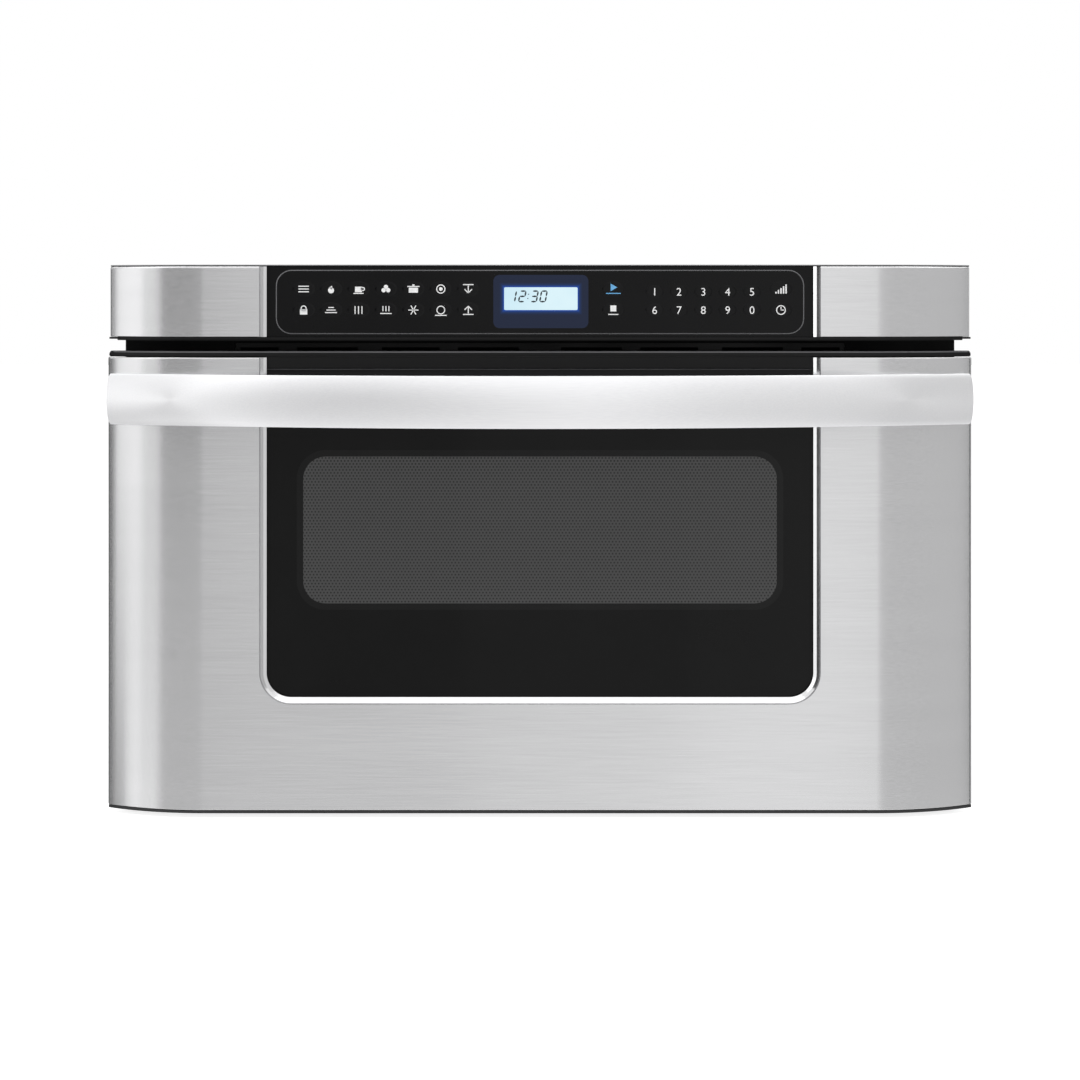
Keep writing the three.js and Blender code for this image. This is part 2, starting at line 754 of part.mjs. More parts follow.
// Hub with five pitched blades, each a lofted sheet that twists from root to tip.
function makeFanWheel() {
  const hub = rodY(16, 0, 0, -fanDepth / 2, fanDepth / 2, 20);
  const shaft = rodY(2.5, 0, 0, -shroudDepth + 8, 0, 8);
  const blades = [];
  const count = 5;
  for (let i = 0; i < count; i += 1) {
    const sections = [];
    for (let s = 0; s <= 5; s += 1) {
      const radius = 14 + (fanRadius - 14) * (s / 5);
      const pitch = THREE.MathUtils.degToRad(52 - 24 * (s / 5));
      const chord = 20 + 12 * (s / 5);
      const across = (chord / 2) * Math.cos(pitch);
      const along = Math.min((chord / 2) * Math.sin(pitch), fanDepth / 2 - 1);
      sections.push([
        [-across, -along - 0.6, radius], [across, along - 0.6, radius],
        [across, along + 0.6, radius], [-across, -along + 0.6, radius],
      ]);
    }
    blades.push(loft(sections).rotateY((i * 2 * Math.PI) / count));
  }
  return join(hub, shaft, ...blades);
}

// Shaded-pole motor: laminated ring with its coil, bearing bridges on both faces.
function makeFanMotor() {
  const stack = cut(block(-30, 30, -motorGap - 18, -motorGap, -26, 34), rodY(17, 0, 0, -60, 10, 20));
  return cut(join(
    stack,
    rodY(16.5, 0, 0, -motorGap - 16, -motorGap - 2, 20),
    block(-19, 19, -motorGap - 26, -motorGap + 7.5, 16, 26).translate(0, 0, 6),
    block(-19, 19, -motorGap - 21, -motorGap - 17, -5, 5),
    block(-19, 19, -motorGap - 1, -motorGap + 3, -5, 5),
    rodY(6, 0, 0, -motorGap - 25, 0, 12),
  ), rodY(3.1, 0, 0, -motorGap - 6, 1, 12));
}

const ductLeft = fanX - shroud / 2;
const ductRight = fanX + shroud / 2;
const ductFront = 12;
const ductBack = bayBack - seat - shroudDepth - 40;

// Sheet duct from the fan over the cavity to the front grille, open at both ends.
function makeAirDuct() {
  const behind = cavityBack + cavitySheet + 3;
  const low = fanZ - shroud / 2;
  const high = fanZ + shroud / 2;
  const outer = polygon([
    [ductFront, seatedTop], [behind, seatedTop], [behind + 30, low], [ductBack, low],
    [ductBack, high], [behind, high], [ductFront, grilleTop + 2],
  ]);
  const inner = polygon([
    [ductFront - 1, seatedTop + sheet], [behind + 1, seatedTop + sheet],
    [behind + 31, low + sheet], [ductBack + 1, low + sheet], [ductBack + 1, high - sheet],
    [behind, high - sheet], [ductFront - 1, grilleTop + 2 - sheet],
  ]);
  return cut(span(outer, ductLeft, ductRight), span(inner, ductLeft + sheet, ductRight - sheet));
}

// ---- Slides and drive ---------------------------------------------------------------------------

const middleHeight = slideHeight - 2 * (heavySheet + slidePlay);
const innerHeight = middleHeight - 2 * (heavySheet + slidePlay);
const middleBack = 3.5; // depths in the slide, from the outer member's web
const middleLip = slideDepth - 0.6;
const innerBack = slideDepth + 0.6;
const innerLip = 6.5;

// Slide member: a C section with its web's back at one depth and its two lips reaching to another.
function slideMember(side, back, lip, height) {
  const web = back + Math.sign(lip - back) * heavySheet;
  const x = (depth) => side * (slideWeb - depth);
  const low = slideMiddle - height / 2;
  const high = slideMiddle + height / 2;
  const section = polygon([
    [x(back), low], [x(lip), low], [x(lip), low + heavySheet], [x(web), low + heavySheet],
    [x(web), high - heavySheet], [x(lip), high - heavySheet], [x(lip), high], [x(back), high],
  ]);
  return carry(section, slideStart, slideStart + slideLength);
}

const armBottom = slideMiddle - 16;
const armTop = slideMiddle + 16;
const footDepth = 2.5;
const footFront = corePlane - seat - footDepth;
const footInner = 232;
const barHeight = 14;
const barBottom = rackBottom + rackHeight + 2;
const barDepth = 14;

// Arm along the slide: a foot behind the drawer's front, and an ear for the cross bar at the back.
function makeCarriageArm(side) {
  const inner = armOuter - armSheet;
  const foot = sideBlock(side, footInner, armOuter, footFront, footFront + footDepth, armBottom,
    armTop);
  const strip = sideBlock(side, inner, armOuter, footFront, barY + barDepth, armBottom, armTop);
  const ear = sideBlock(side, inner, armOuter, barY - 2, barY + barDepth, armTop - 1,
    barBottom + barHeight);
  return join(strip, foot, ear);
}

// Channel that ties the rear ends of both arms and the rack together.
function makeCrossBar() {
  const half = armOuter - armSheet - seat;
  const t = heavySheet;
  const section = polygon([
    [barY, barBottom], [barY + t, barBottom], [barY + t, barBottom + barHeight - t],
    [barY + barDepth - t, barBottom + barHeight - t], [barY + barDepth - t, barBottom],
    [barY + barDepth, barBottom], [barY + barDepth, barBottom + barHeight],
    [barY, barBottom + barHeight],
  ]);
  return span(section, -half, half);
}

const addendum = gearModule * 0.9;
const dedendum = gearModule * 1.25;
const flank = Math.tan(THREE.MathUtils.degToRad(pressureAngle));
const rackFoot = 20;

// Rack with straight-flanked teeth that face +X, its foot at the front and a tab under the cross bar.
function makeRack() {
  const root = rackPitchX - dedendum;
  const tip = rackPitchX + addendum;
  const end = barY + barDepth;
  const back = root - rackBack;
  const half = (toothPitch - backlash) / 4;
  const outline = [[back, footFront + footDepth], [root, footFront + footDepth]];
  const first = Math.ceil((0 - pinionY) / toothPitch);
  for (let k = first; ; k += 1) {
    const y = pinionY + (k + 0.5) * toothPitch;
    if (y + toothPitch > end) break;
    outline.push(
      [root, y - half - dedendum * flank], [tip, y - half + addendum * flank],
      [tip, y + half - addendum * flank], [root, y + half + dedendum * flank],
    );
  }
  outline.push([root, end], [back, end]);
  const bar = raise(polygon(outline), rackBottom, rackBottom + rackHeight);
  const foot = block(-rackFoot, rackFoot, footFront, footFront + footDepth, rackBottom - 10,
    rackBottom + rackHeight + 2);
  const neck = block(back, root, footFront, footFront + footDepth + 1, rackBottom,
    rackBottom + rackHeight);
  const tab = block(back, root, barY, end, rackBottom + rackHeight - 1, barBottom - seat);
  return join(bar, foot, neck, tab);
}

// Pinion with involute flanks; one tooth points at the rack.
function makePinion() {
  const baseRadius = pitchRadius * Math.cos(THREE.MathUtils.degToRad(pressureAngle));
  const rootRadius = pitchRadius - dedendum;
  const tipRadius = pitchRadius + addendum;
  const involute = (radius) => {
    const angle = Math.acos(Math.min(1, baseRadius / radius));
    return Math.tan(angle) - angle;
  };
  const halfAtPitch = (toothPitch - backlash) / (4 * pitchRadius);
  const halfAngle = (radius) => halfAtPitch + involute(pitchRadius) - involute(radius);
  const flankRadii = [baseRadius, pitchRadius, (pitchRadius + tipRadius) / 2, tipRadius];
  const points = [];
  const add = (radius, angle) => points.push([radius * Math.cos(angle), radius * Math.sin(angle)]);
  for (let tooth = 0; tooth < pinionTeeth; tooth += 1) {
    const centre = Math.PI + (tooth * 2 * Math.PI) / pinionTeeth;
    add(rootRadius, centre - halfAngle(baseRadius));
    for (const radius of flankRadii) add(radius, centre - halfAngle(radius));
    for (const radius of [...flankRadii].reverse()) add(radius, centre + halfAngle(radius));
    add(rootRadius, centre + halfAngle(baseRadius));
  }
  const wheel = raise(polygon(points), 0, rackHeight);
  return cut(join(wheel, rod(6, -1.4, 1, 20)), rod(3.3, -3, rackHeight - 2, 16));
}

const bracketTop = rackBottom - 2.6;
const motorRadius = 21;

// Hat-shaped bracket that holds the gear motor over the base pan.
function makeMotorBracket() {
  const half = motorRadius + 8;
  const t = heavySheet;
  const low = heavySheet + seat;
  const top = bracketTop;
  const section = polygon([
    [-half - 12, low], [-half, low], [-half, top - t], [half, top - t], [half, low],
    [half + 12, low], [half + 12, low + t], [half + t, low + t], [half + t, top],
    [-half - t, top], [-half - t, low + t], [-half - 12, low + t],
  ]);
  return cut(carry(section, -motorRadius, motorRadius), rod(7, top - 2 * t, top + 1, 20));
}

// Flat gear motor: round gearbox, smaller motor can below, output shaft on top.
function makeDriveMotor() {
  const top = bracketTop - heavySheet - seat;
  const low = heavySheet + 2;
  return join(
    turned([
      [0, low], [14, low], [16, low + 2], [16, top - 14], [motorRadius - 1, top - 14],
      [motorRadius, top - 13], [motorRadius, top], [5, top], [5, top + 2.5], [3, top + 2.5],
      [3, rackBottom + rackHeight - 3], [0, rackBottom + rackHeight - 3],
    ], 24),
    block(-motorRadius - 6, motorRadius + 6, -5, 5, top - 3, top),
  );
}

// Holder with three microswitches, one above the other, behind the frame's slot.
function makeSwitchHolder(side) {
  const x0 = hookX - 8;
  const x1 = wrapInner - seat;
  const z0 = hookZ - 14;
  const holder = sideBlock(side, x0, x1, seat, 30, z0, z0 + 62);
  const hookSpace = sideBlock(side, hookX - 4, hookX + 4, -1, 24, hookZ - 3,
    hookZ + hookHeight + 3);
  const switches = [];
  for (let i = 0; i < 3; i += 1) {
    const z = z0 + 2 + i * 20;
    switches.push(sideBlock(side, x0 + 1, x1 - 1, 29, 46, z, z + 12));
    switches.push(sideBlock(side, x0 + 4, x0 + 5, 45, 50, z + 3, z + 9));
    switches.push(sideBlock(side, x1 - 5, x1 - 4, 45, 50, z + 3, z + 9));
  }
  return join(cut(holder, hookSpace), ...switches);
}

// Latch hook on the drawer's front, which works the switches when the drawer is shut.
function makeLatchHook(side) {
  const t = 2.5;
  const z0 = hookZ;
  const z1 = hookZ + hookHeight;
  return join(
    sideBlock(side, hookX - 6, hookX + 8, footFront, footFront + footDepth, z0 - 6, z1 + 6),
    sideBlock(side, hookX - t / 2, hookX + t / 2, footFront, 20, z0, z1),
    sideBlock(side, hookX - t / 2, hookX + t / 2, 15, 20, z0 - 2, z1),
  );
}

// ---- Drawer -------------------------------------------------------------------------------------

const plateX = tubHalf - floorPlateMargin;

// Deep-drawn tub: walls, floor, a hem round its rim and a flange behind the inner panel.
function makeTub() {
  const t = sheet;
  const outerHalf = tubHalf + t;
  const outline = (grow, corner) => roundedRect(-tubHalf - grow, tubHalf + grow, tubFront,
    tubBack + grow, 0, corner);
  const shell = raise(outline(t, tubCorner + t), tubBottom, tubTop);
  const hem = raise(outline(tubRim, tubCorner + tubRim), tubTop - 3, tubTop);
  const flange = block(-outerHalf - 5, outerHalf + 5, tubFront, tubFront + t, tubBottom - 4, tubTop);
  const inside = raise(outline(0, tubCorner), tubBottom + t, tubTop + 1);
  const front = block(-tubHalf + 8, tubHalf - 8, tubFront - 1, tubFront + t + 0.1,
    tubBottom + t + 12, tubTop + 1);
  const sill = block(-tubHalf, tubHalf, tubFront, tubFront + t, tubBottom, tubBottom + t + 12);
  return cut(join(cut(join(shell, hem), inside), cut(flange, front), sill), front);
}

function makeFloorPlate() {
  const low = tubBottom + sheet + seat;
  const front = tubFront + sheet + floorPlateMargin;
  const outline = roundedRect(-plateX, plateX, front, tubBack - floorPlateMargin,
    tubCorner - floorPlateMargin);
  return raise(outline, low, low + floorPlateThickness);
}

const panelHalf = mouthHalf + panelFlange;
const panelLow = cavityFloor - panelFlange;
const panelHigh = cavityCeiling + panelFlange;
const chokeInner = mouthHalf + chokeOffset;
const chokeOuter = chokeInner + chokeWidth;
const chokeDepth = panelDepth - 2;

// Ring between two rectangles that stand round the cavity's mouth by the given widths.
function mouthRing(outer, inner, y0, y1) {
  const around = (grow, from, to) => block(-mouthHalf - grow, mouthHalf + grow, from, to,
    cavityFloor - grow, cavityCeiling + grow);
  return cut(around(outer, y0, y1), around(inner, y0 - 1, y1 + 1));
}

function windowOutline(grow) {
  const half = windowWidth / 2 + grow;
  return roundedRect(-half, half, windowBottom - grow, windowTop + grow, windowCorner + grow);
}

// Folded steel panel that closes the cavity: a web with the window, a choke channel round it.
function makeInnerPanel() {
  const t = heavySheet;
  const slab = block(-panelHalf, panelHalf, panelFront, panelBack, panelLow, panelHigh);
  const choke = mouthRing(chokeOffset + chokeWidth, chokeOffset, panelFront + t, panelBack + 1);
  const pocket = block(-mouthHalf - chokeOffset + t, mouthHalf + chokeOffset - t, panelFront - 1,
    panelBack - t, cavityFloor - chokeOffset + t, cavityCeiling + chokeOffset - t);
  const rim = block(-panelHalf - 1, panelHalf + 1, panelFront - 1, panelBack - t, panelLow - 1,
    panelHigh + 1);
  const rimKeep = block(-chokeOuter - t, chokeOuter + t, panelFront - 2, panelBack,
    cavityFloor - chokeOffset - chokeWidth - t, cavityCeiling + chokeOffset + chokeWidth + t);
  return cut(slab, choke, pocket, cut(rim, rimKeep), carry(windowOutline(4), panelFront - 1,
    panelBack + 1));
}

function makeChokeCover() {
  const outer = chokeOffset + chokeWidth - seat;
  const ring = mouthRing(outer, chokeOffset + seat, panelBack - 1.8, panelBack - 0.2);
  const lip = mouthRing(outer, outer - 1.5, panelBack - 6, panelBack - 1);
  return join(ring, lip);
}

// Perforated screen held in front of the inner panel's window.
function makeWindowScreen() {
  return carry(windowOutline(12), panelFront - seat - 1, panelFront - seat);
}

const recessBack = glassBack + seat;
const screenPocket = panelFront - seat - 1 - seat;
const handleLow = handleCentre - handleHeight / 2;
const handleHigh = handleCentre + handleHeight / 2;
const handleHalf = frontHalf - handleInset;
const studX = handleHalf - mountInset;
const mountPlate = 5;

// Pockets between the ribs on the back of the core: a column in each wing, as deep as the curved
// front allows, and a row at the bottom.
function ribPockets() {
  const rib = 3;
  const pockets = [];
  const pocket = (depth, x0, x1, z0, z1) => pockets.push(
    block(x0, x1, corePlane - depth, corePlane + 1, z0, z1));
  const wing = [panelHalf + rib, frontHalf - sheet - seat - 2 * rib];
  const wingDepth = corePlane - frontY(wing[1], sheet + seat) - rib;
  const rowDepth = corePlane - frontPlane - sheet - seat - 4 * rib;
  for (const [low, high, count] of [[armTop + 6, hookZ - 14, 4], [hookZ + 20, handleLow, 1]]) {
    const pitch = (high - low) / count;
    for (let i = 0; i < count; i += 1) {
      for (const side of [-1, 1]) {
        const [x0, x1] = side > 0 ? wing : [-wing[1], -wing[0]];
        pocket(wingDepth, x0, x1, low + i * pitch, low + (i + 1) * pitch - rib);
      }
    }
  }
  const rowCount = 4;
  const rowStart = rackFoot + 1 + rib;
  const rowPitch = (footInner - 1 - rowStart) / rowCount;
  for (let i = 0; i < rowCount; i += 1) {
    const x = rowStart + i * rowPitch;
    for (const [x0, x1] of [[x, x + rowPitch - rib], [-x - rowPitch + rib, -x]]) {
      pocket(rowDepth, x0, x1, coreBottom + rib, panelLow - rib);
    }
  }
  return pockets;
}

// Moulded frame between the skin and the inner panel, with the seats of everything it carries.
function makeFrontCore() {
  const body = raise(frontOutline(frontHalf - sheet - seat, sheet + seat, corePlane), coreBottom,
    coreTop);
  const glassSeat = carry(roundedRect(-bezelHalf - 1, bezelHalf + 1, glassBottom - bevelWidth - 1,
    coreTop + 30, glassCorner + bevelWidth, 0), frontPlane - 1, recessBack);
  const panelSeat = block(-panelHalf - 0.5, panelHalf + 0.5, panelFront - seat, 0, panelLow - 0.5,
    panelHigh + 0.5);
  const screenSeat = carry(windowOutline(13), screenPocket, 0);
  const opening = carry(windowOutline(3), frontPlane - 1, 0);
  const seats = ribPockets();
  const back = footFront - seat;
  seats.push(block(-rackFoot - 1, rackFoot + 1, back, 0, rackBottom - 11,
    rackBottom + rackHeight + 3));
  for (const side of [-1, 1]) {
    seats.push(
      sideBlock(side, footInner - 1, armOuter + 1, back, 0, armBottom - 1, armTop + 1),
      sideBlock(side, hookX - 7, hookX + 9, back, 0, hookZ - 7, hookZ + hookHeight + 7),
      mountSpace(side, seat, 0),
      ...studs(side, studRadius + seat, 8),
    );
  }
  return cut(body, glassSeat, panelSeat, screenSeat, opening, ...seats);
}

// Mount behind the skin: a plate with two studs that reach forward into the handle's end.
function mountSpace(side, grow, back) {
  const front = frontY(studX + 10, sheet) + 2;
  return sideBlock(side, studX - 11 - grow, studX + 11 + grow, front - grow, back,
    handleCentre - 14 - grow, handleCentre + 14 + grow);
}

function studs(side, radius, tip) {
  return [-1, 1].map((row) => rodY(radius, side * studX, handleCentre + (row * studPitch) / 2,
    frontY(studX) - tip, frontY(studX + 10, sheet) + 4, 12));
}

function makeHandleMount(side) {
  const front = frontY(studX + 10, sheet) + 2;
  return join(mountSpace(side, 0, front + mountPlate), ...studs(side, studRadius, 3.5));
}

// Stainless skin: folded round both ends, cut out for the glass and drilled for the handle's studs.
function makeFrontSkin() {
  const outer = raise(frontOutline(frontHalf, 0, skinReturn), coreBottom - seat, skinTop);
  const inner = raise(frontOutline(frontHalf - sheet, sheet, 0), 0, skinTop + 1);
  const window = carry(roundedRect(-bezelHalf, bezelHalf, glassBottom - bevelWidth, skinTop + 30,
    glassCorner + bevelWidth, 0), frontPlane - 1, 0);
  const holes = [-1, 1].flatMap((side) => studs(side, studRadius + seat, 8));
  return cut(outer, inner, window, ...holes);
}

function makeFrontGlass() {
  const half = glassHalf - seat;
  const pane = roundedRect(-half, half, glassBottom + seat, glassTop, glassCorner, 0);
  return carry(pane, glassFront, glassBack);
}

// Bevelled rim from the skin's top down the left of the glass, under it and up the right, as one
// lofted strip.
function makeGlassBezel() {
  const path = [];
  const centreX = glassHalf - glassCorner;
  const centreZ = glassBottom + glassCorner;
  path.push([-glassHalf, skinTop, -1, 0]);
  const steps = 7;
  for (const start of [Math.PI, 1.5 * Math.PI]) {
    const x = start > 4 ? centreX : -centreX;
    for (let i = 0; i <= steps; i += 1) {
      const angle = start + (i / steps) * (Math.PI / 2);
      const [c, s] = [Math.cos(angle), Math.sin(angle)];
      path.push([x + glassCorner * c, centreZ + glassCorner * s, c, s]);
    }
  }
  path.push([glassHalf, skinTop, 1, 0]);
  const reach = bevelWidth - seat;
  const sections = path.map(([x, z, nx, nz]) => [
    [x, glassFront - 0.2, z],
    [x + nx * reach, frontPlane, z + nz * reach],
    [x + nx * reach, glassBack, z + nz * reach],
    [x, glassBack, z],
  ]);
  return loft(sections);
}

// Black cap along the drawer's top: a lip over the skin, and a deeper face above the glass,
// between the rims.
function makeTopTrim() {
  const lip = raise(frontOutline(frontHalf - 0.6, 0.6, skinReturn), skinTop + seat,
    skinTop + topTrimHeight);
  const faceHalf = glassHalf - seat;
  const face = block(-faceHalf, faceHalf, frontPlane + 1.5, glassBack, glassTop + seat,
    skinTop + 1);
  return join(lip, face);
}

function makeBottomTrim() {
  return raise(frontOutline(frontHalf - 0.4, 0.4, skinReturn), frontBottom,
    frontBottom + bottomTrimHeight - seat);
}

// Bowed handle: a crowned band on one wide arc, thinned where its ends lie on the curved front.
function makeHandle() {
  const radius = (handleHalf * handleHalf + handleSag * handleSag) / (2 * handleSag);
  const faceY = (x) => frontPlane - handleReach + radius - Math.sqrt(radius * radius - x * x);
  const spread = 18;
  const crownSteps = 6;
  const stations = frontLine(-handleHalf, handleHalf).map(([x]) => x);
  for (let i = 1; i < spread; i += 1) stations.push(flatHalf * ((2 * i) / spread - 1));
  const sections = [];
  for (const x of stations.sort((a, b) => a - b)) {
    const face = faceY(x);
    const back = Math.min(face + handleThickness, frontY(x) - seat);
    const section = [[x, back, handleHigh - 3], [x, back, handleLow + 3]];
    for (let step = 0; step <= crownSteps; step += 1) {
      const across = (step / crownSteps) * 2 - 1;
      const z = handleCentre + (handleHeight / 2) * across;
      section.push([x, face + handleCrown * across * across, z]);
    }
    sections.push(section);
  }
  const band = loft(sections);
  const sockets = [-1, 1].flatMap((side) => studs(side, studRadius + seat, 3.8));
  return cut(band, ...sockets);
}

// ---- Control panel ------------------------------------------------------------------------------

const housingBack = -heavySheet - seat;
const housingTop = panelTop - seat;

// Black housing that follows the curve of the trims, with its lip and its hollow for the boards.
function makeControlHousing() {
  const half = housingHalf;
  const t = sheet + seat;
  const body = raise(frontOutline(half, t, housingBack), housingBottom, housingTop);
  const lipHalf = panelEnd + 0.6;
  const lip = raise(frontOutline(lipHalf, -0.4, housingBack - 10), panelBottom - seat - lipHeight,
    panelBottom - seat);
  const hollow = block(-half + 30, half - 30, glassBack + seat + housingWall, 0,
    housingBottom + housingWall + lipHeight, housingTop - housingWall);
  const glassSeat = block(-bezelHalf - 1, bezelHalf + 1, frontPlane - 5, glassBack + seat,
    panelBottom - seat, housingTop + 5);
  const showHalf = displayWidth / 2 + 1;
  const display = block(-showHalf, showHalf, frontPlane, 0, displayCentre - displayHeight / 2 - 1,
    displayCentre + displayHeight / 2 + 1);
  return cut(join(body, lip), hollow, glassSeat, display);
}

function makeControlGlass() {
  const half = bezelHalf - bevelWidth - seat;
  return carry(roundedRect(-half, half, panelBottom, panelTop + 0.4, 0, 0), glassFront,
    glassFront + overlayThickness);
}

// Stainless end of the panel: a bevel towards the glass, the curved face and the folded end.
function makePanelTrim(side) {
  const end = panelEnd;
  const near = glassHalf;
  const face = (offset, from) => frontLine(from, end - offset, offset);
  const outer = [[near, glassFront], ...face(0, bezelHalf), [end, skinReturn]];
  const inner = [[end - sheet, skinReturn], ...face(sheet, bezelHalf + 1).reverse(),
    [near, glassFront + sheet + 0.5]];
  const outline = [...outer, ...inner].map(([x, y]) => [side * x, y]);
  return raise(polygon(outline), panelBottom, panelTop);
}

function makeDisplayModule() {
  const half = displayWidth / 2;
  const low = displayCentre - displayHeight / 2;
  const high = displayCentre + displayHeight / 2;
  const front = glassFront + overlayThickness + seat;
  const frame = carry(roundedRect(-half, half, low, high, 3), front, front + displayDepth);
  return cut(frame, block(-27, 27, front - 1, front + 1, displayCentre - 7, displayCentre + 11));
}

// Control board behind the panel: relays, transformer and connectors on one carrier.
function makeControlBoard() {
  const front = glassFront + overlayThickness + seat + displayDepth + seat;
  const low = housingBottom + housingWall + lipHeight + seat;
  const high = housingTop - housingWall - seat;
  const back = front + 1.6;
  const parts = [];
  for (let i = 0; i < 4; i += 1) {
    const x = -150 + i * 24;
    parts.push(block(x, x + 18, back - 0.5, back + 8, low + 6, low + 22));
  }
  parts.push(block(70, 112, back - 0.5, back + 11, low + 5, low + 34));
  parts.push(block(130, 150, back - 0.5, back + 7, low + 8, low + 16));
  parts.push(block(-190, -160, back - 0.5, back + 7, high - 14, high - 6));
  return join(block(-200, 200, front, back, low, high), ...parts);
}

// ---- Putting it together ------------------------------------------------------------------------

piece(chassis, "base_pan", "galvanised", makeBasePan());
piece(chassis, "outer_wrap", "galvanised", makeOuterWrap());
piece(chassis, "rear_panel", "galvanised", makeRearPanel());
piece(chassis, "power_inlet_bush", "blackPlastic", makeInletBush(), bushX, bayBack, bushZ);
piece(chassis, "front_frame", "blackMetal", makeFrontFrame());
piece(chassis, "vent_grille", "blackPlastic", makeVentGrille());
piece(chassis, "oven_cavity", "enamel", makeOvenCavity());
piece(chassis, "cavity_lamp", "palePlastic", makeCavityLamp(), lampX, lampY,
  cavityTop + seat - 3);
piece(chassis, "stirrer_cover", "mica", makeStirrerCover(), 0, wellY, cavityCeiling - seat - 1.5);
piece(chassis, "stirrer_motor", "galvanised", makeStirrerMotor(), 0, wellY, guideTop + seat);
piece(chassis, "waveguide", "galvanised", makeWaveguide());
piece(chassis, "magnetron_yoke", "galvanised", makeMagnetronYoke(), 0, sourceY,
  guideBottom - seat);
piece(chassis, "magnetron_anode", "aluminium", makeMagnetronAnode(), 0, sourceY,
  guideBottom - seat);
const panTop = heavySheet + seat;
const transformerX = -170;
const transformerY = (barY + barDepth + bayBack) / 2; // half way from the cross bar to the back
const capacitorX = -40;
const capacitorY = bayBack - 44;
const filterX = -150;
const filterZ = chassisHeight - 60;
piece(chassis, "transformer_core", "laminate", makeTransformerCore(), transformerX,
  transformerY, panTop);
piece(chassis, "transformer_windings", "copper", makeTransformerWindings(), transformerX,
  transformerY, panTop);
piece(chassis, "hv_capacitor", "aluminium", makeCapacitor(), capacitorX, capacitorY, panTop);
piece(chassis, "filter_board", "board", makeFilterBoard(), filterX, bayBack - seat, filterZ);
piece(chassis, "fan_housing", "blackPlastic", makeFanHousing(), fanX, bayBack - seat, fanZ);
const wheelY = bayBack - seat - fanDepth / 2 - 6;
piece(chassis, "fan_motor", "laminate", makeFanMotor(), fanX, bayBack - seat - shroudDepth - seat,
  fanZ);
piece(chassis, "air_duct", "galvanised", makeAirDuct());
pair(chassis, "rail_outer", "galvanised", (side) => slideMember(side, 0, slideDepth, slideHeight));
piece(chassis, "motor_bracket", "galvanised", makeMotorBracket(), pinionX, pinionY, 0);
piece(chassis, "drive_motor", "aluminium", makeDriveMotor(), pinionX, pinionY, 0);
pair(chassis, "interlock_switches", "palePlastic", makeSwitchHolder);
piece(chassis, "control_housing", "blackPlastic", makeControlHousing());
piece(chassis, "control_glass", "blackGlass", makeControlGlass());
piece(chassis, "display_module", "display", makeDisplayModule());
piece(chassis, "control_board", "board", makeControlBoard());
pair(chassis, "panel_trim", "stainless", makePanelTrim);

piece(movers, "stirrer_blade", "aluminium", makeStirrerBlade(), 0, wellY, cavityCeiling);
piece(movers, "fan_wheel", "nylon", makeFanWheel(), fanX, wheelY, fanZ);
piece(movers, "drive_pinion", "nylon", makePinion(), pinionX, pinionY, rackBottom);
pair(movers, "rail_middle", "galvanised",
  (side) => slideMember(side, middleBack, middleLip, middleHeight));

pair(drawer, "rail_inner", "galvanised",
  (side) => slideMember(side, innerBack, innerLip, innerHeight));
pair(drawer, "carriage_arm", "galvanised", makeCarriageArm);
piece(drawer, "carriage_bar", "galvanised", makeCrossBar());
piece(drawer, "drawer_rack", "nylon", makeRack());
piece(drawer, "drawer_tub", "enamel", makeTub());
piece(drawer, "tub_floor_plate", "glassCeramic", makeFloorPlate());
piece(drawer, "inner_panel", "enamel", makeInnerPanel());
piece(drawer, "choke_cover", "blackPlastic", makeChokeCover());
piece(drawer, "window_screen", "screenMetal", makeWindowScreen());
piece(drawer, "front_core", "blackPlastic", makeFrontCore());
piece(drawer, "front_skin", "stainless", makeFrontSkin());
piece(drawer, "glass_bezel", "polished", makeGlassBezel());
piece(drawer, "front_glass", "blackGlass", makeFrontGlass());
piece(drawer, "top_trim", "blackPlastic", makeTopTrim());
piece(drawer, "bottom_trim", "blackPlastic", makeBottomTrim());
piece(drawer, "handle_bar", "polished", makeHandle());
pair(drawer, "handle_mount", "galvanised", makeHandleMount);
pair(drawer, "latch_hook", "nylon", makeLatchHook);

const depthBox = new THREE.Box3().setFromObject(drawerUnit);
drawerUnit.position.y = -(depthBox.min.y + depthBox.max.y) / 2;

export default drawerUnit;
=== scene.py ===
# %% [markdown]
# # A built-in microwave drawer, dressed for a studio photograph
# The construction of the appliance is already made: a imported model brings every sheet, slide,
# rack and motor at its real size. This script gives it its looks. It loads that model as a fixed
# frame, puts a finish on each part, and models again, with finer faces, the pieces that a
# photograph of the front shows close up: the folded stainless skin, the bowed handle, the glass
# and the touch panel. Everything is in metres, +Z is up, and the front faces -Y.

# %% Load the frame
import json
import math

import bmesh
import bpy
from mathutils import Matrix, Vector


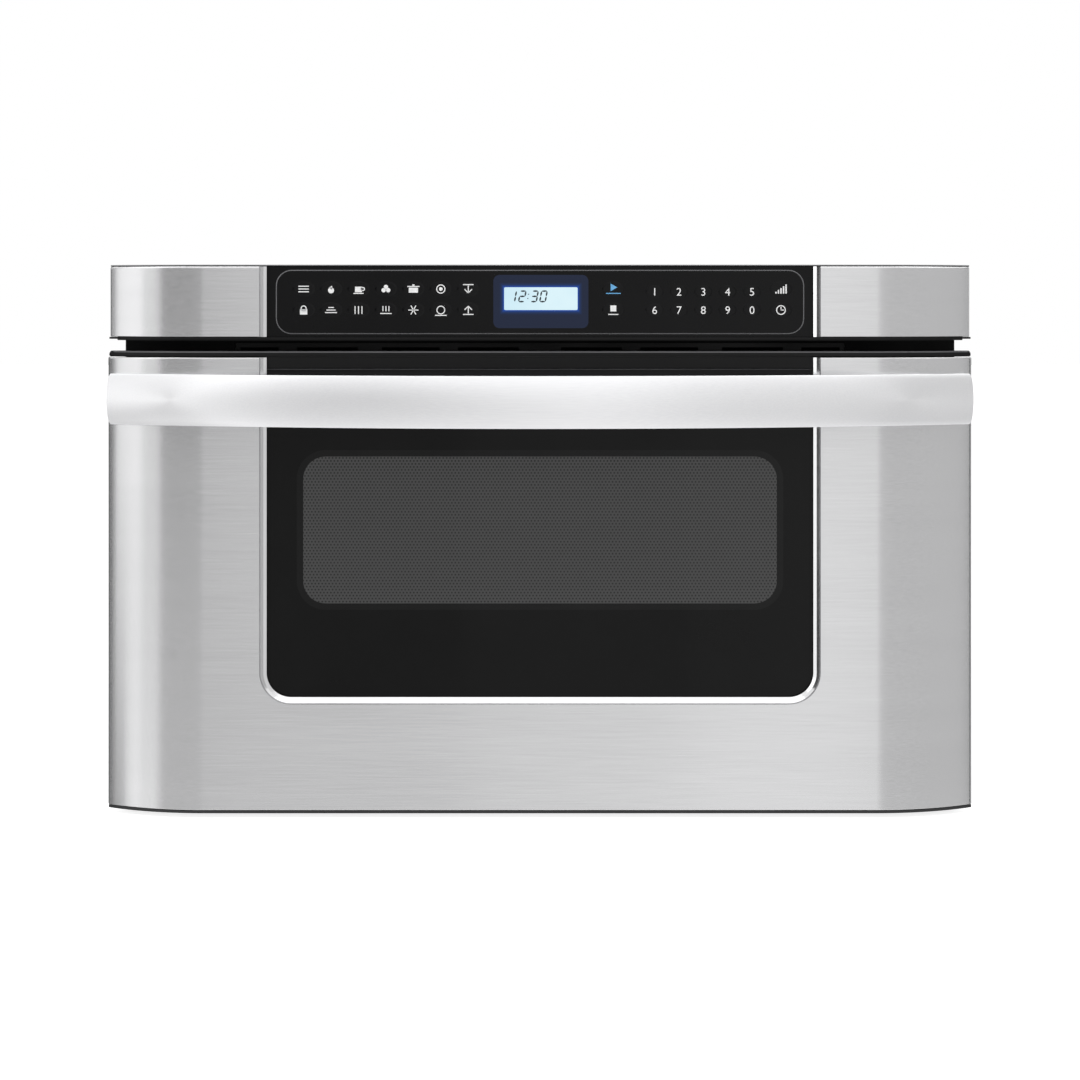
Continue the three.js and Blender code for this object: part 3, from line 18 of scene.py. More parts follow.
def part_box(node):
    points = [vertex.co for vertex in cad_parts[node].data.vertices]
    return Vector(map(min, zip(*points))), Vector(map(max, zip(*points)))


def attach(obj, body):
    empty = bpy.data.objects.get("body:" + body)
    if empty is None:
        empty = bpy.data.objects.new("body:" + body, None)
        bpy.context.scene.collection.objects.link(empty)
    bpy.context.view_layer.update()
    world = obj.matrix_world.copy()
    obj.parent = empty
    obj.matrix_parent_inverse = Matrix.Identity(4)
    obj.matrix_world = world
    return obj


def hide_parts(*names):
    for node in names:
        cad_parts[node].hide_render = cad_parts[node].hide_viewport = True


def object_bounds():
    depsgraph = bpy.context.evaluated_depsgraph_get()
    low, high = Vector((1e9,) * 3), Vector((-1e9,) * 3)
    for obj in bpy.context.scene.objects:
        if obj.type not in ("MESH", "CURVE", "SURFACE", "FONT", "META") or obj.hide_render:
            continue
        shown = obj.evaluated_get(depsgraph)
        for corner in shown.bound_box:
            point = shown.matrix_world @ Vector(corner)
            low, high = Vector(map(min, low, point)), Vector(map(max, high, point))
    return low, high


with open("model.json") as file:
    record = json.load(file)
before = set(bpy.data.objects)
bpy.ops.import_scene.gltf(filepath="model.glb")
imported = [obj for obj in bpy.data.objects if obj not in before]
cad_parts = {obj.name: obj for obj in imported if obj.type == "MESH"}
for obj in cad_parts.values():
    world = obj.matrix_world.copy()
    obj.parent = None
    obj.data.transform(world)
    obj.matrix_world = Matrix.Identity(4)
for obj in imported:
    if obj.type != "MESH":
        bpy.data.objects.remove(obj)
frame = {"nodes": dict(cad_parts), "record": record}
cad_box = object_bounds()

# %% [markdown]
# ## Units, colours and nodes
# Sizes are written in millimetres, as a maker would, and multiplied by `MM`. Colours are the
# hexadecimal values that an eye-dropper shows. Blender calculates with light, so one function
# turns each value to linear light. One more function adds a node to a material with its
# settings and its links, and every material below is made with it.

# %% Units, colours and nodes
MM = 0.001


def linear(colour):
    channels = [int(colour[i:i + 2], 16) / 255 for i in (1, 3, 5)]
    return [c / 12.92 if c <= 0.04045 else ((c + 0.055) / 1.055) ** 2.4 for c in channels] + [1.0]


def add_node(tree, kind, inputs=None, stops=(), **settings):
    # An input is a socket to link, a hex colour or a number. Stops are for a colour ramp.
    node = tree.nodes.new(kind)
    for name, value in settings.items():
        setattr(node, name, value)
    for name, value in (inputs or {}).items():
        if isinstance(value, bpy.types.NodeSocket):
            tree.links.new(value, node.inputs[name])
        else:
            node.inputs[name].default_value = linear(value) if isinstance(value, str) else value
    for i, (place, colour) in enumerate(stops):
        band = node.color_ramp.elements
        element = band[i] if i < len(band) else band.new(place)
        element.position = place
        element.color = linear(colour)
    return node


def new_material(name):
    material = bpy.data.materials.new(name)
    material.use_nodes = True
    material.node_tree.nodes.clear()
    return material, material.node_tree

# %% [markdown]
# ## The camera
# Upright edges in the picture stay parallel, so the camera was level. The line on which level
# edges look straight lies at 306 of 1080 pixels, well above the middle, so the lens was shifted
# down instead of tilted. The bend of the drawer's edges fixes the distance, 1.6 m in front of
# the skin, and the width of the skin in pixels then fixes the focal length.

# %% The camera
PICTURE = 1080
SENSOR = 36
horizon_row = 306
skin_low, skin_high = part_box("front_skin")
camera_distance = 1600 * MM
camera_height = 354.9 * MM
focal_pixels = 2308  # the focal length, in pixels of the picture

camera_data = bpy.data.cameras.new("camera")
camera_data.sensor_width = SENSOR
camera_data.lens = focal_pixels * SENSOR / PICTURE
camera_data.shift_y = (horizon_row - PICTURE / 2) / PICTURE
camera_data.clip_start = 0.05
camera_data.clip_end = 40
camera = bpy.data.objects.new("camera", camera_data)
camera.location = (0, skin_low.y - camera_distance, camera_height)
camera.rotation_euler = (math.radians(90), 0, 0)
bpy.context.collection.objects.link(camera)
bpy.context.scene.camera = camera
print("lens", round(camera_data.lens, 1), "mm, shift", round(camera_data.shift_y, 3))

# %% [markdown]
# ## The room's light
# A white room: it is white to the camera, in reflections and through glass, and a little
# dimmer where it lights a surface, so that pale parts don't burn out. The Light Path node tells
# these rays apart. It is no property of the appliance, so it belongs in the world.

# %% The room's light
room_light = 0.62
world = bpy.data.worlds.new("studio")
world.use_nodes = True
bpy.context.scene.world = world
bpy.context.scene.view_settings.view_transform = "Standard"
tree = world.node_tree
tree.nodes.clear()


def seen_directly(tree):
    # 1 on rays from the camera, in mirrors and through glass, 0 on rays that light a surface.
    path = add_node(tree, "ShaderNodeLightPath")
    mirror = add_node(tree, "ShaderNodeMath", {0: path.outputs["Is Camera Ray"],
        1: path.outputs["Is Glossy Ray"]}, operation="MAXIMUM")
    through = add_node(tree, "ShaderNodeMath", {0: mirror.outputs[0],
        1: path.outputs["Is Transmission Ray"]}, operation="MAXIMUM")
    return through.outputs[0]


lit = add_node(tree, "ShaderNodeBackground", {"Color": "#FFFFFF", "Strength": room_light})
seen = add_node(tree, "ShaderNodeBackground", {"Color": "#FFFFFF", "Strength": 1.0})
room = add_node(tree, "ShaderNodeMixShader", {"Fac": seen_directly(tree), 1: lit.outputs[0],
    2: seen.outputs[0]})
add_node(tree, "ShaderNodeOutputWorld", {"Surface": room.outputs[0]})
print("the room lights surfaces with", room_light, "and shows as 1")

# %% [markdown]
# ## Lamps
# Area lamps light the paint, the plastic and the floor. They are large, so that shadows are
# soft, and they are kept out of the mirrors, where each would show as a bright rectangle.

# %% Lamps
front_middle = Vector((0, skin_low.y, 0.2))


def area_lamp(name, place, width, height, watts):
    data = bpy.data.lights.new(name, "AREA")
    data.shape = "RECTANGLE"
    data.size = width
    data.size_y = height
    data.energy = watts
    lamp = bpy.data.objects.new(name, data)
    lamp.location = place
    lamp.rotation_euler = (front_middle - Vector(place)).to_track_quat("-Z", "Y").to_euler()
    lamp.visible_glossy = False
    bpy.context.collection.objects.link(lamp)
    print(name, "gives", watts, "watts")


area_lamp("lamp_left", (-2.1, -1.9, 1.1), width=0.7, height=1.9, watts=12)
area_lamp("lamp_right", (2.1, -1.9, 1.1), width=0.7, height=1.9, watts=9)
area_lamp("lamp_top", (0, -0.9, 2.4), width=2.2, height=1.2, watts=14)

# %% [markdown]
# ## Cards
# Brushed steel has almost no colour of its own: it shows the room. In an even white room the
# bent ends would look flat, so a studio stands cards beside the camera, and their reflections
# draw upright bands in the bends. The cards are the reverse of the lamps: planes that only
# mirrors can see, so each one's light is exactly what its band shows, and a card without light
# is a black flag. An upright card is given by the bearings of its two edges, in degrees to the
# right of the line from the drawer to the camera. One with heights of its own is smaller. It
# stands 50 mm nearer than the others and changes the tone of the band behind it at its height.
# Three more cards lie level or lean. They show in the faces and rounds that turn up or down.

# %% Cards
CARD_DISTANCE = 2.5
SMALL_CARD_DISTANCE = 2.45
CARD_HEIGHTS = (-1.6, 2.0)


def stage_plane(name, width, height, material):
    bm = bmesh.new()
    bmesh.ops.create_grid(bm, x_segments=1, y_segments=1, size=0.5)
    bmesh.ops.scale(bm, vec=(width, height, 1), verts=bm.verts)
    mesh = bpy.data.meshes.new(name)
    bm.to_mesh(mesh)
    bm.free()
    mesh.materials.append(material)
    plane = bpy.data.objects.new(name, mesh)
    bpy.context.collection.objects.link(plane)
    return plane


def mirror_card(name, width, height, light):
    material, tree = new_material(name)
    glow = add_node(tree, "ShaderNodeEmission", {"Color": "#FFFFFF", "Strength": light})
    add_node(tree, "ShaderNodeOutputMaterial", {"Surface": glow.outputs[0]})
    plane = stage_plane(name, width, height, material)
    for rays in ("camera", "diffuse", "shadow", "transmission"):
        setattr(plane, "visible_" + rays, False)
    return plane


def upright_card(name, start, end, light, heights=None):
    low, high = heights or CARD_HEIGHTS
    distance = SMALL_CARD_DISTANCE if heights else CARD_DISTANCE
    turn = math.radians((start + end) / 2)
    width = 2 * distance * math.tan(math.radians(end - start) / 2)
    out = Vector((math.sin(turn), -math.cos(turn), 0))
    plane = mirror_card(name, width, high - low, light)
    plane.location = Vector((0, skin_low.y, (low + high) / 2)) + distance * out
    plane.rotation_euler = (math.pi / 2, 0, turn)


def level_card(name, width, depth, light, place, lean=0):
    plane = mirror_card(name, width, depth, light)
    plane.location = place
    plane.rotation_euler = (math.radians(lean), 0, 0)


upright_card("card_left_flat", -14, -3, 0.84)
upright_card("card_left_grey", -41, -14, 0.76)
upright_card("card_left_upper", -41, -14, 0.0, (0.24, 0.64))
upright_card("card_left_bright", -72, -54, 1.2)
upright_card("card_left_panel", -70, -52, 2.0, (0.26, 0.52))
upright_card("card_left_top", -72, -45, 1.6, (0.7, 2.0))
upright_card("card_left_foot", -63, -45, 2.0, (-1.6, -0.72))
upright_card("card_left_low", -72, -65, 0.36, (-1.6, -0.34))
upright_card("card_left_edge", -78, -72, 0.15)
upright_card("card_left_rim", -88, -78, 0.55)
upright_card("card_left_side", -125, -88, 0.12)
upright_card("card_left_behind", -178, -125, 0.25)
upright_card("card_right_flat", 6, 15, 1.16)
upright_card("card_right_grey", 15, 75, 0.76)
upright_card("card_right_dark", 76, 88, 0.05)
upright_card("card_right_side", 88, 178, 0.85)
level_card("card_ceiling", 1.7015, 2.4, 1.4, (0, skin_low.y - 1.4, 1.9), lean=25)
level_card("card_overhead", 3.8136, 2.4, 3.0, (0, skin_low.y, 2.4))
level_card("card_below", 1.4922, 1.0, 1.7, (0, skin_low.y - 0.3, -0.8))

# %% [markdown]
# ## The floor
# A white sheet that runs far past the appliance. Its shader is a plain diffuse white, which
# takes the soft shadow under the appliance. Only where the sheet is seen directly does it add
# some light of its own, so that it fades into the white room.

# %% The floor
floor_size = 24
floor_gap = 0.5 * MM
material, tree = new_material("white_floor_sheet")
matt = add_node(tree, "ShaderNodeBsdfDiffuse", {"Color": "#F4F4F4"})
glow = add_node(tree, "ShaderNodeEmission", {"Color": "#FFFFFF", "Strength": 0.8})
brighter = add_node(tree, "ShaderNodeAddShader", {0: matt.outputs[0], 1: glow.outputs[0]})
floor_mix = add_node(tree, "ShaderNodeMixShader", {"Fac": seen_directly(tree), 1: matt.outputs[0],
    2: brighter.outputs[0]})
add_node(tree, "ShaderNodeOutputMaterial", {"Surface": floor_mix.outputs[0]})
floor = stage_plane("floor", floor_size, floor_size, material)
floor.location.z = cad_box[0].z - floor_gap
floor.visible_glossy = False
print("the floor is", floor_size, "m wide")

# %% [markdown]
# ## Brushed stainless steel
# The skin and the ends of the panel are 304 sheet, brushed lengthwise with a fine belt. The belt
# leaves scratches centimetres long and a few hundredths of a millimetre apart, which spread a
# reflection up and down more than sideways. So the steel looks soft and pale, with upright bands
# and faint lines along it. The handle is blasted as well as brushed, which makes it evener, and
# its tone is painted paler than the skin's to stand for the light it catches. A noise texture
# squeezed across the grain and stretched along it stands for the scratches. It is drawn at about
# half a millimetre, far coarser than the real grit, because the real lines are finer than a
# pixel. A second, broad noise gives the sheet its slow changes of tone.

# %% Brushed stainless steel
SCRATCH_STRETCH = 80  # a scratch is drawn this many times as long as it is wide
BROAD_SHARE = 0.3


def brushed_steel(name, dark, light, roughness, grain_mm, depth_mm, stretch):
    material, tree = new_material(name)
    across = 1 / (grain_mm * MM)
    along = across / SCRATCH_STRETCH
    place = add_node(tree, "ShaderNodeTexCoord").outputs["Object"]
    drawn_out = add_node(tree, "ShaderNodeMapping", {"Vector": place,
        "Scale": (along, across, across)})
    scratches = add_node(tree, "ShaderNodeTexNoise", {"Vector": drawn_out.outputs[0],
        "Scale": 1.0, "Detail": 3.0, "Roughness": 0.6}).outputs["Fac"]
    broad = add_node(tree, "ShaderNodeMapping", {"Vector": place, "Scale": (4, 4, 40)})
    bands = add_node(tree, "ShaderNodeTexNoise", {"Vector": broad.outputs[0],
        "Scale": 1.0, "Detail": 2.0}).outputs["Fac"]
    both = add_node(tree, "ShaderNodeMix", {0: BROAD_SHARE, 2: scratches, 3: bands}).outputs[0]
    tone = add_node(tree, "ShaderNodeValToRGB", {"Fac": both}, stops=[(0.3, dark), (0.7, light)])
    rough = add_node(tree, "ShaderNodeMapRange", {"Value": scratches,
        "To Min": roughness - 0.06, "To Max": roughness + 0.06})
    relief = add_node(tree, "ShaderNodeBump", {"Height": scratches, "Distance": depth_mm * MM,
        "Strength": 1.0})
    surface = add_node(tree, "ShaderNodeBsdfPrincipled", {"Base Color": tone.outputs[0],
        "Metallic": 1.0, "Roughness": rough.outputs[0], "Normal": relief.outputs[0],
        "Anisotropic": stretch, "Anisotropic Rotation": 0.25})
    add_node(tree, "ShaderNodeOutputMaterial", {"Surface": surface.outputs[0]})
    return material


skin_steel = brushed_steel("brushed_304_stainless", "#C6C6C7", "#D0D0D1", 0.24, 0.5, 0.004, 0.9)
# The handle's paler tone is painted light: it stands for the light the bowed bar catches.
handle_steel_painted_pale = brushed_steel("satin_304_stainless_painted_pale", "#E6E6E8", "#F0F0F1", 0.42, 0.4, 0.0008, 0.5)
print("steels:", skin_steel.name, "and", handle_steel_painted_pale.name)

# %% [markdown]
# ## Surfaces with an even grain
# Moulded plastic takes a fine grain from its mould, powder paint dries with a shallow orange
# peel, and enamel flows to a soft wave as it is fired. Each is a small relief of its own
# breadth and depth over a colour that varies a little, so one function makes them all. The
# breadth and the depth of the relief are given in millimetres.

# %% Surfaces with an even grain


def finish(name, dark, light, roughness, grain_mm, depth_mm, spread=0.08, **surface_values):
    material, tree = new_material(name)
    place = add_node(tree, "ShaderNodeTexCoord").outputs["Object"]
    grain = add_node(tree, "ShaderNodeTexNoise", {"Vector": place,
        "Scale": 1 / (grain_mm * MM), "Detail": 2.0}).outputs["Fac"]
    wear = add_node(tree, "ShaderNodeTexNoise", {"Vector": place,
        "Scale": 11.0, "Detail": 4.0, "Roughness": 0.65}).outputs["Fac"]
    tone = add_node(tree, "ShaderNodeValToRGB", {"Fac": wear}, stops=[(0.3, dark), (0.7, light)])
    rough = add_node(tree, "ShaderNodeMapRange", {"Value": wear, "From Min": 0.3,
        "From Max": 0.7, "To Min": roughness - spread, "To Max": roughness + spread})
    relief = add_node(tree, "ShaderNodeBump", {"Height": grain, "Distance": depth_mm * MM,
        "Strength": 1.0})
    surface = add_node(tree, "ShaderNodeBsdfPrincipled", {"Base Color": tone.outputs[0],
        "Roughness": rough.outputs[0], "Normal": relief.outputs[0]})
    for socket, value in surface_values.items():
        surface.inputs[socket.replace("_", " ")].default_value = value
    add_node(tree, "ShaderNodeOutputMaterial", {"Surface": surface.outputs[0]})
    return material


# %% [markdown]
# ## Glass, film and prints
# The panes are float glass with black ink baked on the back, which hides all that is behind
# it, so a pane shows as a black solid under a clear gloss. The touch panel is covered by a
# polyester film, whose gloss is softer. Prints on it are thin layers of opaque ink.

# %% Glass, film and prints
GLASS = {"IOR": 1.52, "Specular_IOR_Level": 0.12}

# Baked ink under float glass: an even black with a clear, sharp gloss.
front_black = finish("back_printed_glass", "#0B0B0B", "#101010", 0.07, 60, 0.004, 0.02, **GLASS)
# The ink ends in fine dots round the window, which look a shade paler.
glass_border = finish("window_print_border", "#141414", "#1A1A1A", 0.07, 60, 0.004, 0.02, **GLASS)
# Glass ground with a stone scatters light, so the edge shows as a pale matt line.
ground_edge = finish("ground_glass_edge", "#5A5A5C", "#6C6C6E", 0.5, 0.3, 0.01, 0.05, **GLASS)
# Polyester film: black, with a gloss that its fine grain softens.
touch_black = finish("touch_panel_film", "#09090A", "#0E0E0F", 0.14, 2.5, 0.003, 0.03, **GLASS)
# The same film where it is pressed up over a key, a shade paler: a painted sheen on the embossing.
raised_film_painted_sheen = finish("embossed_film_painted_sheen", "#0C0C0D", "#121213", 0.18, 2.5, 0.003, 0.03, **GLASS)
# On the bead a grey line, a painted highlight along its crest. Ink on the keys: white or blue, flat
# and even.
bead_painted_highlight = finish("painted_highlight_bead_line", "#666668", "#747476", 0.3, 2.5, 0.003, 0.03, **GLASS)
white_print = finish("white_screen_print", "#F0F0F0", "#F8F8F8", 0.4, 2, 0.002, 0.05)
blue_print = finish("blue_screen_print", "#5FA8DC", "#6BB4E8", 0.4, 2, 0.002, 0.05)
print("panes, film and prints: 8 finishes")

# %% [markdown]
# ## Plain metals
# Three metals have no lines of brushing. Buffed steel is almost a mirror, drawn aluminium is
# pale and satin, and zinc plate is a bluish, half bright grey. A metal keeps the index of
# refraction that the shader starts with.

# %% Plain metals
METAL = {"Metallic": 1.0}

# Buffed stainless steel: it shows the cards as sharp light and dark lines.
rim_steel = finish("polished_304_rim", "#DEDEDF", "#EAEAEB", 0.16, 30, 0.03, 0.04, **METAL)
# Deep-drawn aluminium: pale, with blurred reflections.
motor_shell = finish("drawn_aluminium", "#A6A9AC", "#B8BBBE", 0.38, 0.8, 0.01, 0.06, **METAL)
# Electroplated zinc on steel: bluish grey, a little brighter than the sheet under it.
screw_steel = finish("zinc_plated_screw", "#A4A8AC", "#C0C4C8", 0.32, 0.7, 0.01, 0.06, **METAL)
print("plain metals: 3 finishes")

# %% [markdown]
# ## Plastics, paint, enamel and rubber
# The trims are ABS, the frame in the opening is powder coated, the oven is enamelled, and the
# moving parts inside are nylon. Their tones lie close together, so what tells them apart is the
# gloss and the depth of the grain.

# %% Plastics, paint, enamel and rubber
# ABS from a mould with a fine grain: black with a soft sheen, and the same in dark grey.
moulded_black = finish("moulded_black_abs", "#09090A", "#0E0E0F", 0.4, 0.8, 0.012, IOR=1.53,
    Specular_IOR_Level=0.18)
moulded_grey = finish("moulded_grey_abs", "#2C2C2D", "#343435", 0.4, 0.8, 0.012, IOR=1.53,
    Specular_IOR_Level=0.3)
# Paler greys on the upper rounds of the mouldings: painted highlights along their edges.
painted_highlight_grey = finish("painted_highlight_grey_edge", "#7E7E80", "#88888A", 0.4, 0.8, 0.006, IOR=1.53)
painted_highlight_dark_grey = finish("painted_highlight_moulding_edge", "#47474A", "#505052", 0.35, 0.8, 0.006, IOR=1.53)
# Powder coat: the deepest black, dull, with a shallow orange peel.
powder_black = finish("black_powder_coat", "#030303", "#060607", 0.6, 1.8, 0.03, IOR=1.5,
    Specular_IOR_Level=0.15)
# Fired enamel: an even warm grey that shines softly.
grey_enamel = finish("fired_grey_enamel", "#ABA9A3", "#AFADA7", 0.34, 3, 0.002, 0.01, IOR=1.51)
# Glass ceramic: white, smooth and glossy.
ceramic_white = finish("white_glass_ceramic", "#E0DED8", "#E9E7E2", 0.14, 8, 0.006, 0.03, IOR=1.54)
# Plain nylon is off-white and waxy, and with glass fibres in it black and dry.
pale_nylon = finish("moulded_nylon", "#D8D5CA", "#E4E1D8", 0.45, 0.9, 0.012, IOR=1.53)
shroud_black = finish("glass_filled_nylon", "#111112", "#1A1A1C", 0.5, 0.9, 0.015, IOR=1.53)
# Rubber: black and dull.
bush_rubber = finish("moulded_rubber", "#0C0C0C", "#151515", 0.7, 1.0, 0.02, IOR=1.52)
print("plastics, paint, enamel and rubber: 10 finishes")

# %% [markdown]
# ## The screen seen through the window
# In the window the ink stops, and a perforated steel screen shows through the pane, dark grey
# with a fine pattern. Its holes stand in staggered rows about 1.5 mm apart, only two pixels of
# the picture, so they are drawn at 2.4 mm. Three waves at 60 degrees to each other add up to
# round holes in staggered rows. The same rows are used twice, in the pane's window and on the
# screen itself, which is painted steel and so only half metal to the eye.

# %% The screen seen through the window
HOLE_PITCH = 2.4 * MM


def hole_rows(tree):
    # 1 in the middle of each hole and 0 on the steel between them, in the plane of the front.
    place = add_node(tree, "ShaderNodeTexCoord").outputs["Object"]
    directions = [(1, 0, 0.577), (1, 0, -0.577), (0, 0, 1.155)]
    total = 0.0
    for direction in directions:
        along = add_node(tree, "ShaderNodeVectorMath", {0: place, 1: [2 * math.pi * d / HOLE_PITCH
            for d in direction]}, operation="DOT_PRODUCT").outputs["Value"]
        wave = add_node(tree, "ShaderNodeMath", {0: along}, operation="COSINE").outputs[0]
        total = add_node(tree, "ShaderNodeMath", {0: wave, 1: total}, operation="ADD").outputs[0]
    hole = add_node(tree, "ShaderNodeMapRange", {"Value": total, "From Min": 0.0, "From Max": 1.6},
        interpolation_type="SMOOTHSTEP")
    return hole.outputs[0]


def screen(name, steel, hole, roughness, **surface_values):
    material, tree = new_material(name)
    holes = hole_rows(tree)
    tone = add_node(tree, "ShaderNodeValToRGB", {"Fac": holes}, stops=[(0.0, steel), (1.0, hole)])
    surface = add_node(tree, "ShaderNodeBsdfPrincipled", {"Base Color": tone.outputs[0],
        "Roughness": roughness})
    for socket, value in surface_values.items():
        surface.inputs[socket.replace("_", " ")].default_value = value
    add_node(tree, "ShaderNodeOutputMaterial", {"Surface": surface.outputs[0]})
    return material


window_grey = screen("screen_behind_glass", "#4B4B4B", "#2B2B2B", 0.08, **GLASS)
screen_metal = screen("perforated_steel", "#6E6E6C", "#101010", 0.5, Metallic=0.5)
print("holes drawn", round(HOLE_PITCH / MM, 1), "mm apart")

# %% [markdown]
# ## Zinc-coated sheet
# The chassis is hot-dip galvanised steel. As zinc cools it grows flat crystals, the spangle,
# which on appliance sheet are about 8 mm across, each its own shade of grey. Voronoi cells make
# the crystals, and a finer noise the rolled surface across them. The sheet looks pale, bluish
# and softly patched. The air duct is thinner sheet, with smaller crystals and a darker tone.

# %% Zinc-coated sheet


def galvanised(name, dark, light, spangle_mm):
    material, tree = new_material(name)
    place = add_node(tree, "ShaderNodeTexCoord").outputs["Object"]
    crystals = add_node(tree, "ShaderNodeTexVoronoi", {"Vector": place,
        "Scale": 1 / (spangle_mm * MM)}).outputs["Color"]
    shade = add_node(tree, "ShaderNodeSeparateColor", {"Color": crystals}).outputs["Red"]
    rolled = add_node(tree, "ShaderNodeTexNoise", {"Vector": place, "Scale": 160.0,
        "Detail": 3.0}).outputs["Fac"]
    both = add_node(tree, "ShaderNodeMath", {0: shade, 1: rolled}, operation="ADD").outputs[0]
    half = add_node(tree, "ShaderNodeMath", {0: both, 1: 0.5}, operation="MULTIPLY").outputs[0]
    tone = add_node(tree, "ShaderNodeValToRGB", {"Fac": half}, stops=[(0.25, dark), (0.75, light)])
    rough = add_node(tree, "ShaderNodeMapRange", {"Value": half, "To Min": 0.36, "To Max": 0.56})
    relief = add_node(tree, "ShaderNodeBump", {"Height": rolled, "Distance": 0.006 * MM,
        "Strength": 1.0})
    surface = add_node(tree, "ShaderNodeBsdfPrincipled", {"Base Color": tone.outputs[0],
        "Metallic": 0.85, "Roughness": rough.outputs[0], "Normal": relief.outputs[0]})
    add_node(tree, "ShaderNodeOutputMaterial", {"Surface": surface.outputs[0]})
    return material


zinc_sheet = galvanised("galvanised_sheet", "#A0A5A9", "#B3B7BA", 7)
duct_sheet = galvanised("thin_galvanised_sheet", "#90969A", "#A9AEB2", 5)
print("zinc-coated sheet in 2 thicknesses")

# %% [markdown]
# ## Laminations and windings
# A transformer core is a stack of varnished steel plates half a millimetre thick, and its coils
# are layers of enamelled copper wire. Both show as fine parallel lines, so a wave texture draws
# them, at three times the real pitch so that they show. The plates are dull grey-brown, and
# the wire's clear enamel leaves the copper its warm shine.

# %% Laminations and windings


def layered(name, dark, light, pitch_mm, direction, metallic, roughness):
    material, tree = new_material(name)
    place = add_node(tree, "ShaderNodeTexCoord").outputs["Object"]
    lines = add_node(tree, "ShaderNodeTexWave", {"Vector": place,
        "Scale": math.pi / 10 / (pitch_mm * MM), "Distortion": 0.3}, bands_direction=direction)
    tone = add_node(tree, "ShaderNodeValToRGB", {"Fac": lines.outputs["Fac"]},
        stops=[(0.2, dark), (0.8, light)])
    relief = add_node(tree, "ShaderNodeBump", {"Height": lines.outputs["Fac"],
        "Distance": 0.2 * MM, "Strength": 0.5})
    surface = add_node(tree, "ShaderNodeBsdfPrincipled", {"Base Color": tone.outputs[0],
        "Metallic": metallic, "Roughness": roughness, "Normal": relief.outputs[0]})
    add_node(tree, "ShaderNodeOutputMaterial", {"Surface": surface.outputs[0]})
    return material


laminations = layered("varnished_laminations", "#2E2D2C", "#4A4845", 1.5, "Y", 0.6, 0.5)
copper_wire = layered("enamelled_copper", "#6E3416", "#A65A2C", 1.2, "Z", 0.9, 0.35)
print("layered:", laminations.name, "and", copper_wire.name)

# %% [markdown]
# ## Circuit board and mica
# A circuit board is green laminate whose copper tracks show paler through the lacquer. Mica
# sheet is pressed from flakes, so it is marbled in warm greys. A distorted noise through a
# colour ramp gives both.

# %% Circuit board and mica


def marbled(name, scale_mm, roughness, stops):
    material, tree = new_material(name)
    place = add_node(tree, "ShaderNodeTexCoord").outputs["Object"]
    flakes = add_node(tree, "ShaderNodeTexNoise", {"Vector": place, "Scale": 1 / (scale_mm * MM),
        "Detail": 4.0, "Distortion": 0.6}).outputs["Fac"]
    tone = add_node(tree, "ShaderNodeValToRGB", {"Fac": flakes}, stops=stops)
    surface = add_node(tree, "ShaderNodeBsdfPrincipled", {"Base Color": tone.outputs[0],
        "Roughness": roughness})
    add_node(tree, "ShaderNodeOutputMaterial", {"Surface": surface.outputs[0]})
    return material


board_green = marbled("circuit_board", 6, 0.4, [(0.42, "#1E4A2A"), (0.5, "#2F6B3C"),
    (0.56, "#215230")])
mica_sheet = marbled("pressed_mica", 9, 0.55, [(0.3, "#A8987A"), (0.5, "#C9BB98"),
    (0.7, "#DDD2B4")])
print("marbled:", board_green.name, "and", mica_sheet.name)

# %% [markdown]
# ## Working with bmesh
# A piece is shaped in a bmesh, which is Blender's mesh in the making. An operator returns the
# points, edges and faces that it made in one list, so two helpers pick the points or the edges
# out. No real edge is a perfect corner, and its small round is what catches the light, so a
# bevel with a few segments is used on nearly every piece.

# %% Working with bmesh
CLOSE = 1e-5  # places nearer than this, in metres, count as the same
stand_up = Matrix.Rotation(math.pi / 2, 3, "X")  # turns a flat shape to face the front


def verts_in(geometry):
    return [part for part in geometry if isinstance(part, bmesh.types.BMVert)]


def edges_in(geometry):
    return [part for part in geometry if isinstance(part, bmesh.types.BMEdge)]


def sharp_edges(bm, degrees=30):
    limit = math.radians(degrees)
    return [e for e in bm.edges if len(e.link_faces) == 2 and e.calc_face_angle(0) > limit]


def bevel(bm, edges, width, segments, clamp=False):
    return bmesh.ops.bevel(bm, geom=edges, offset=width, offset_type="OFFSET", segments=segments,
        profile=0.5, affect="EDGES", material=-1, clamp_overlap=clamp)["faces"]


def round_edges(bm, radius, segments, degrees, clamp=True):
    bevel(bm, sharp_edges(bm, degrees), radius, segments, clamp)


# %% [markdown]
# ## Finishing a piece
# Smooth shading spreads the normals of a small round over the wide flat faces beside it, which
# then look dented. So each face corner gets the mean of the normals that meet there, each
# counted by the area of its face, and a face that is turned too far away isn't counted. Last,
# the piece is hung on the body of the appliance that it moves with, and the parts of the
# construction that it stands for are hidden.

# %% Finishing a piece


def weigh_normals(mesh, degrees):
    limit = math.cos(math.radians(degrees))
    around = [[] for vert in mesh.vertices]
    for face in mesh.polygons:
        for index in face.vertices:
            around[index].append((face.normal.copy(), face.area))
    corners = []
    for face in mesh.polygons:
        for index in face.vertices:
            near = [normal * area for normal, area in around[index] if normal.dot(face.normal) > limit]
            corners.append(sum(near, Vector()).normalized())
    mesh.normals_split_custom_set(corners)


def make_piece(bm, name, body, materials, nodes=(), smooth=50):
    mesh = bpy.data.meshes.new(name)
    bm.to_mesh(mesh)
    bm.free()
    for material in materials:
        mesh.materials.append(material)
    mesh.shade_smooth()
    weigh_normals(mesh, smooth)
    piece = bpy.data.objects.new(name, mesh)
    bpy.context.collection.objects.link(piece)
    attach(piece, body)
    if nodes:
        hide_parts(*nodes)
    print(name, "has", len(mesh.polygons), "faces on", body)


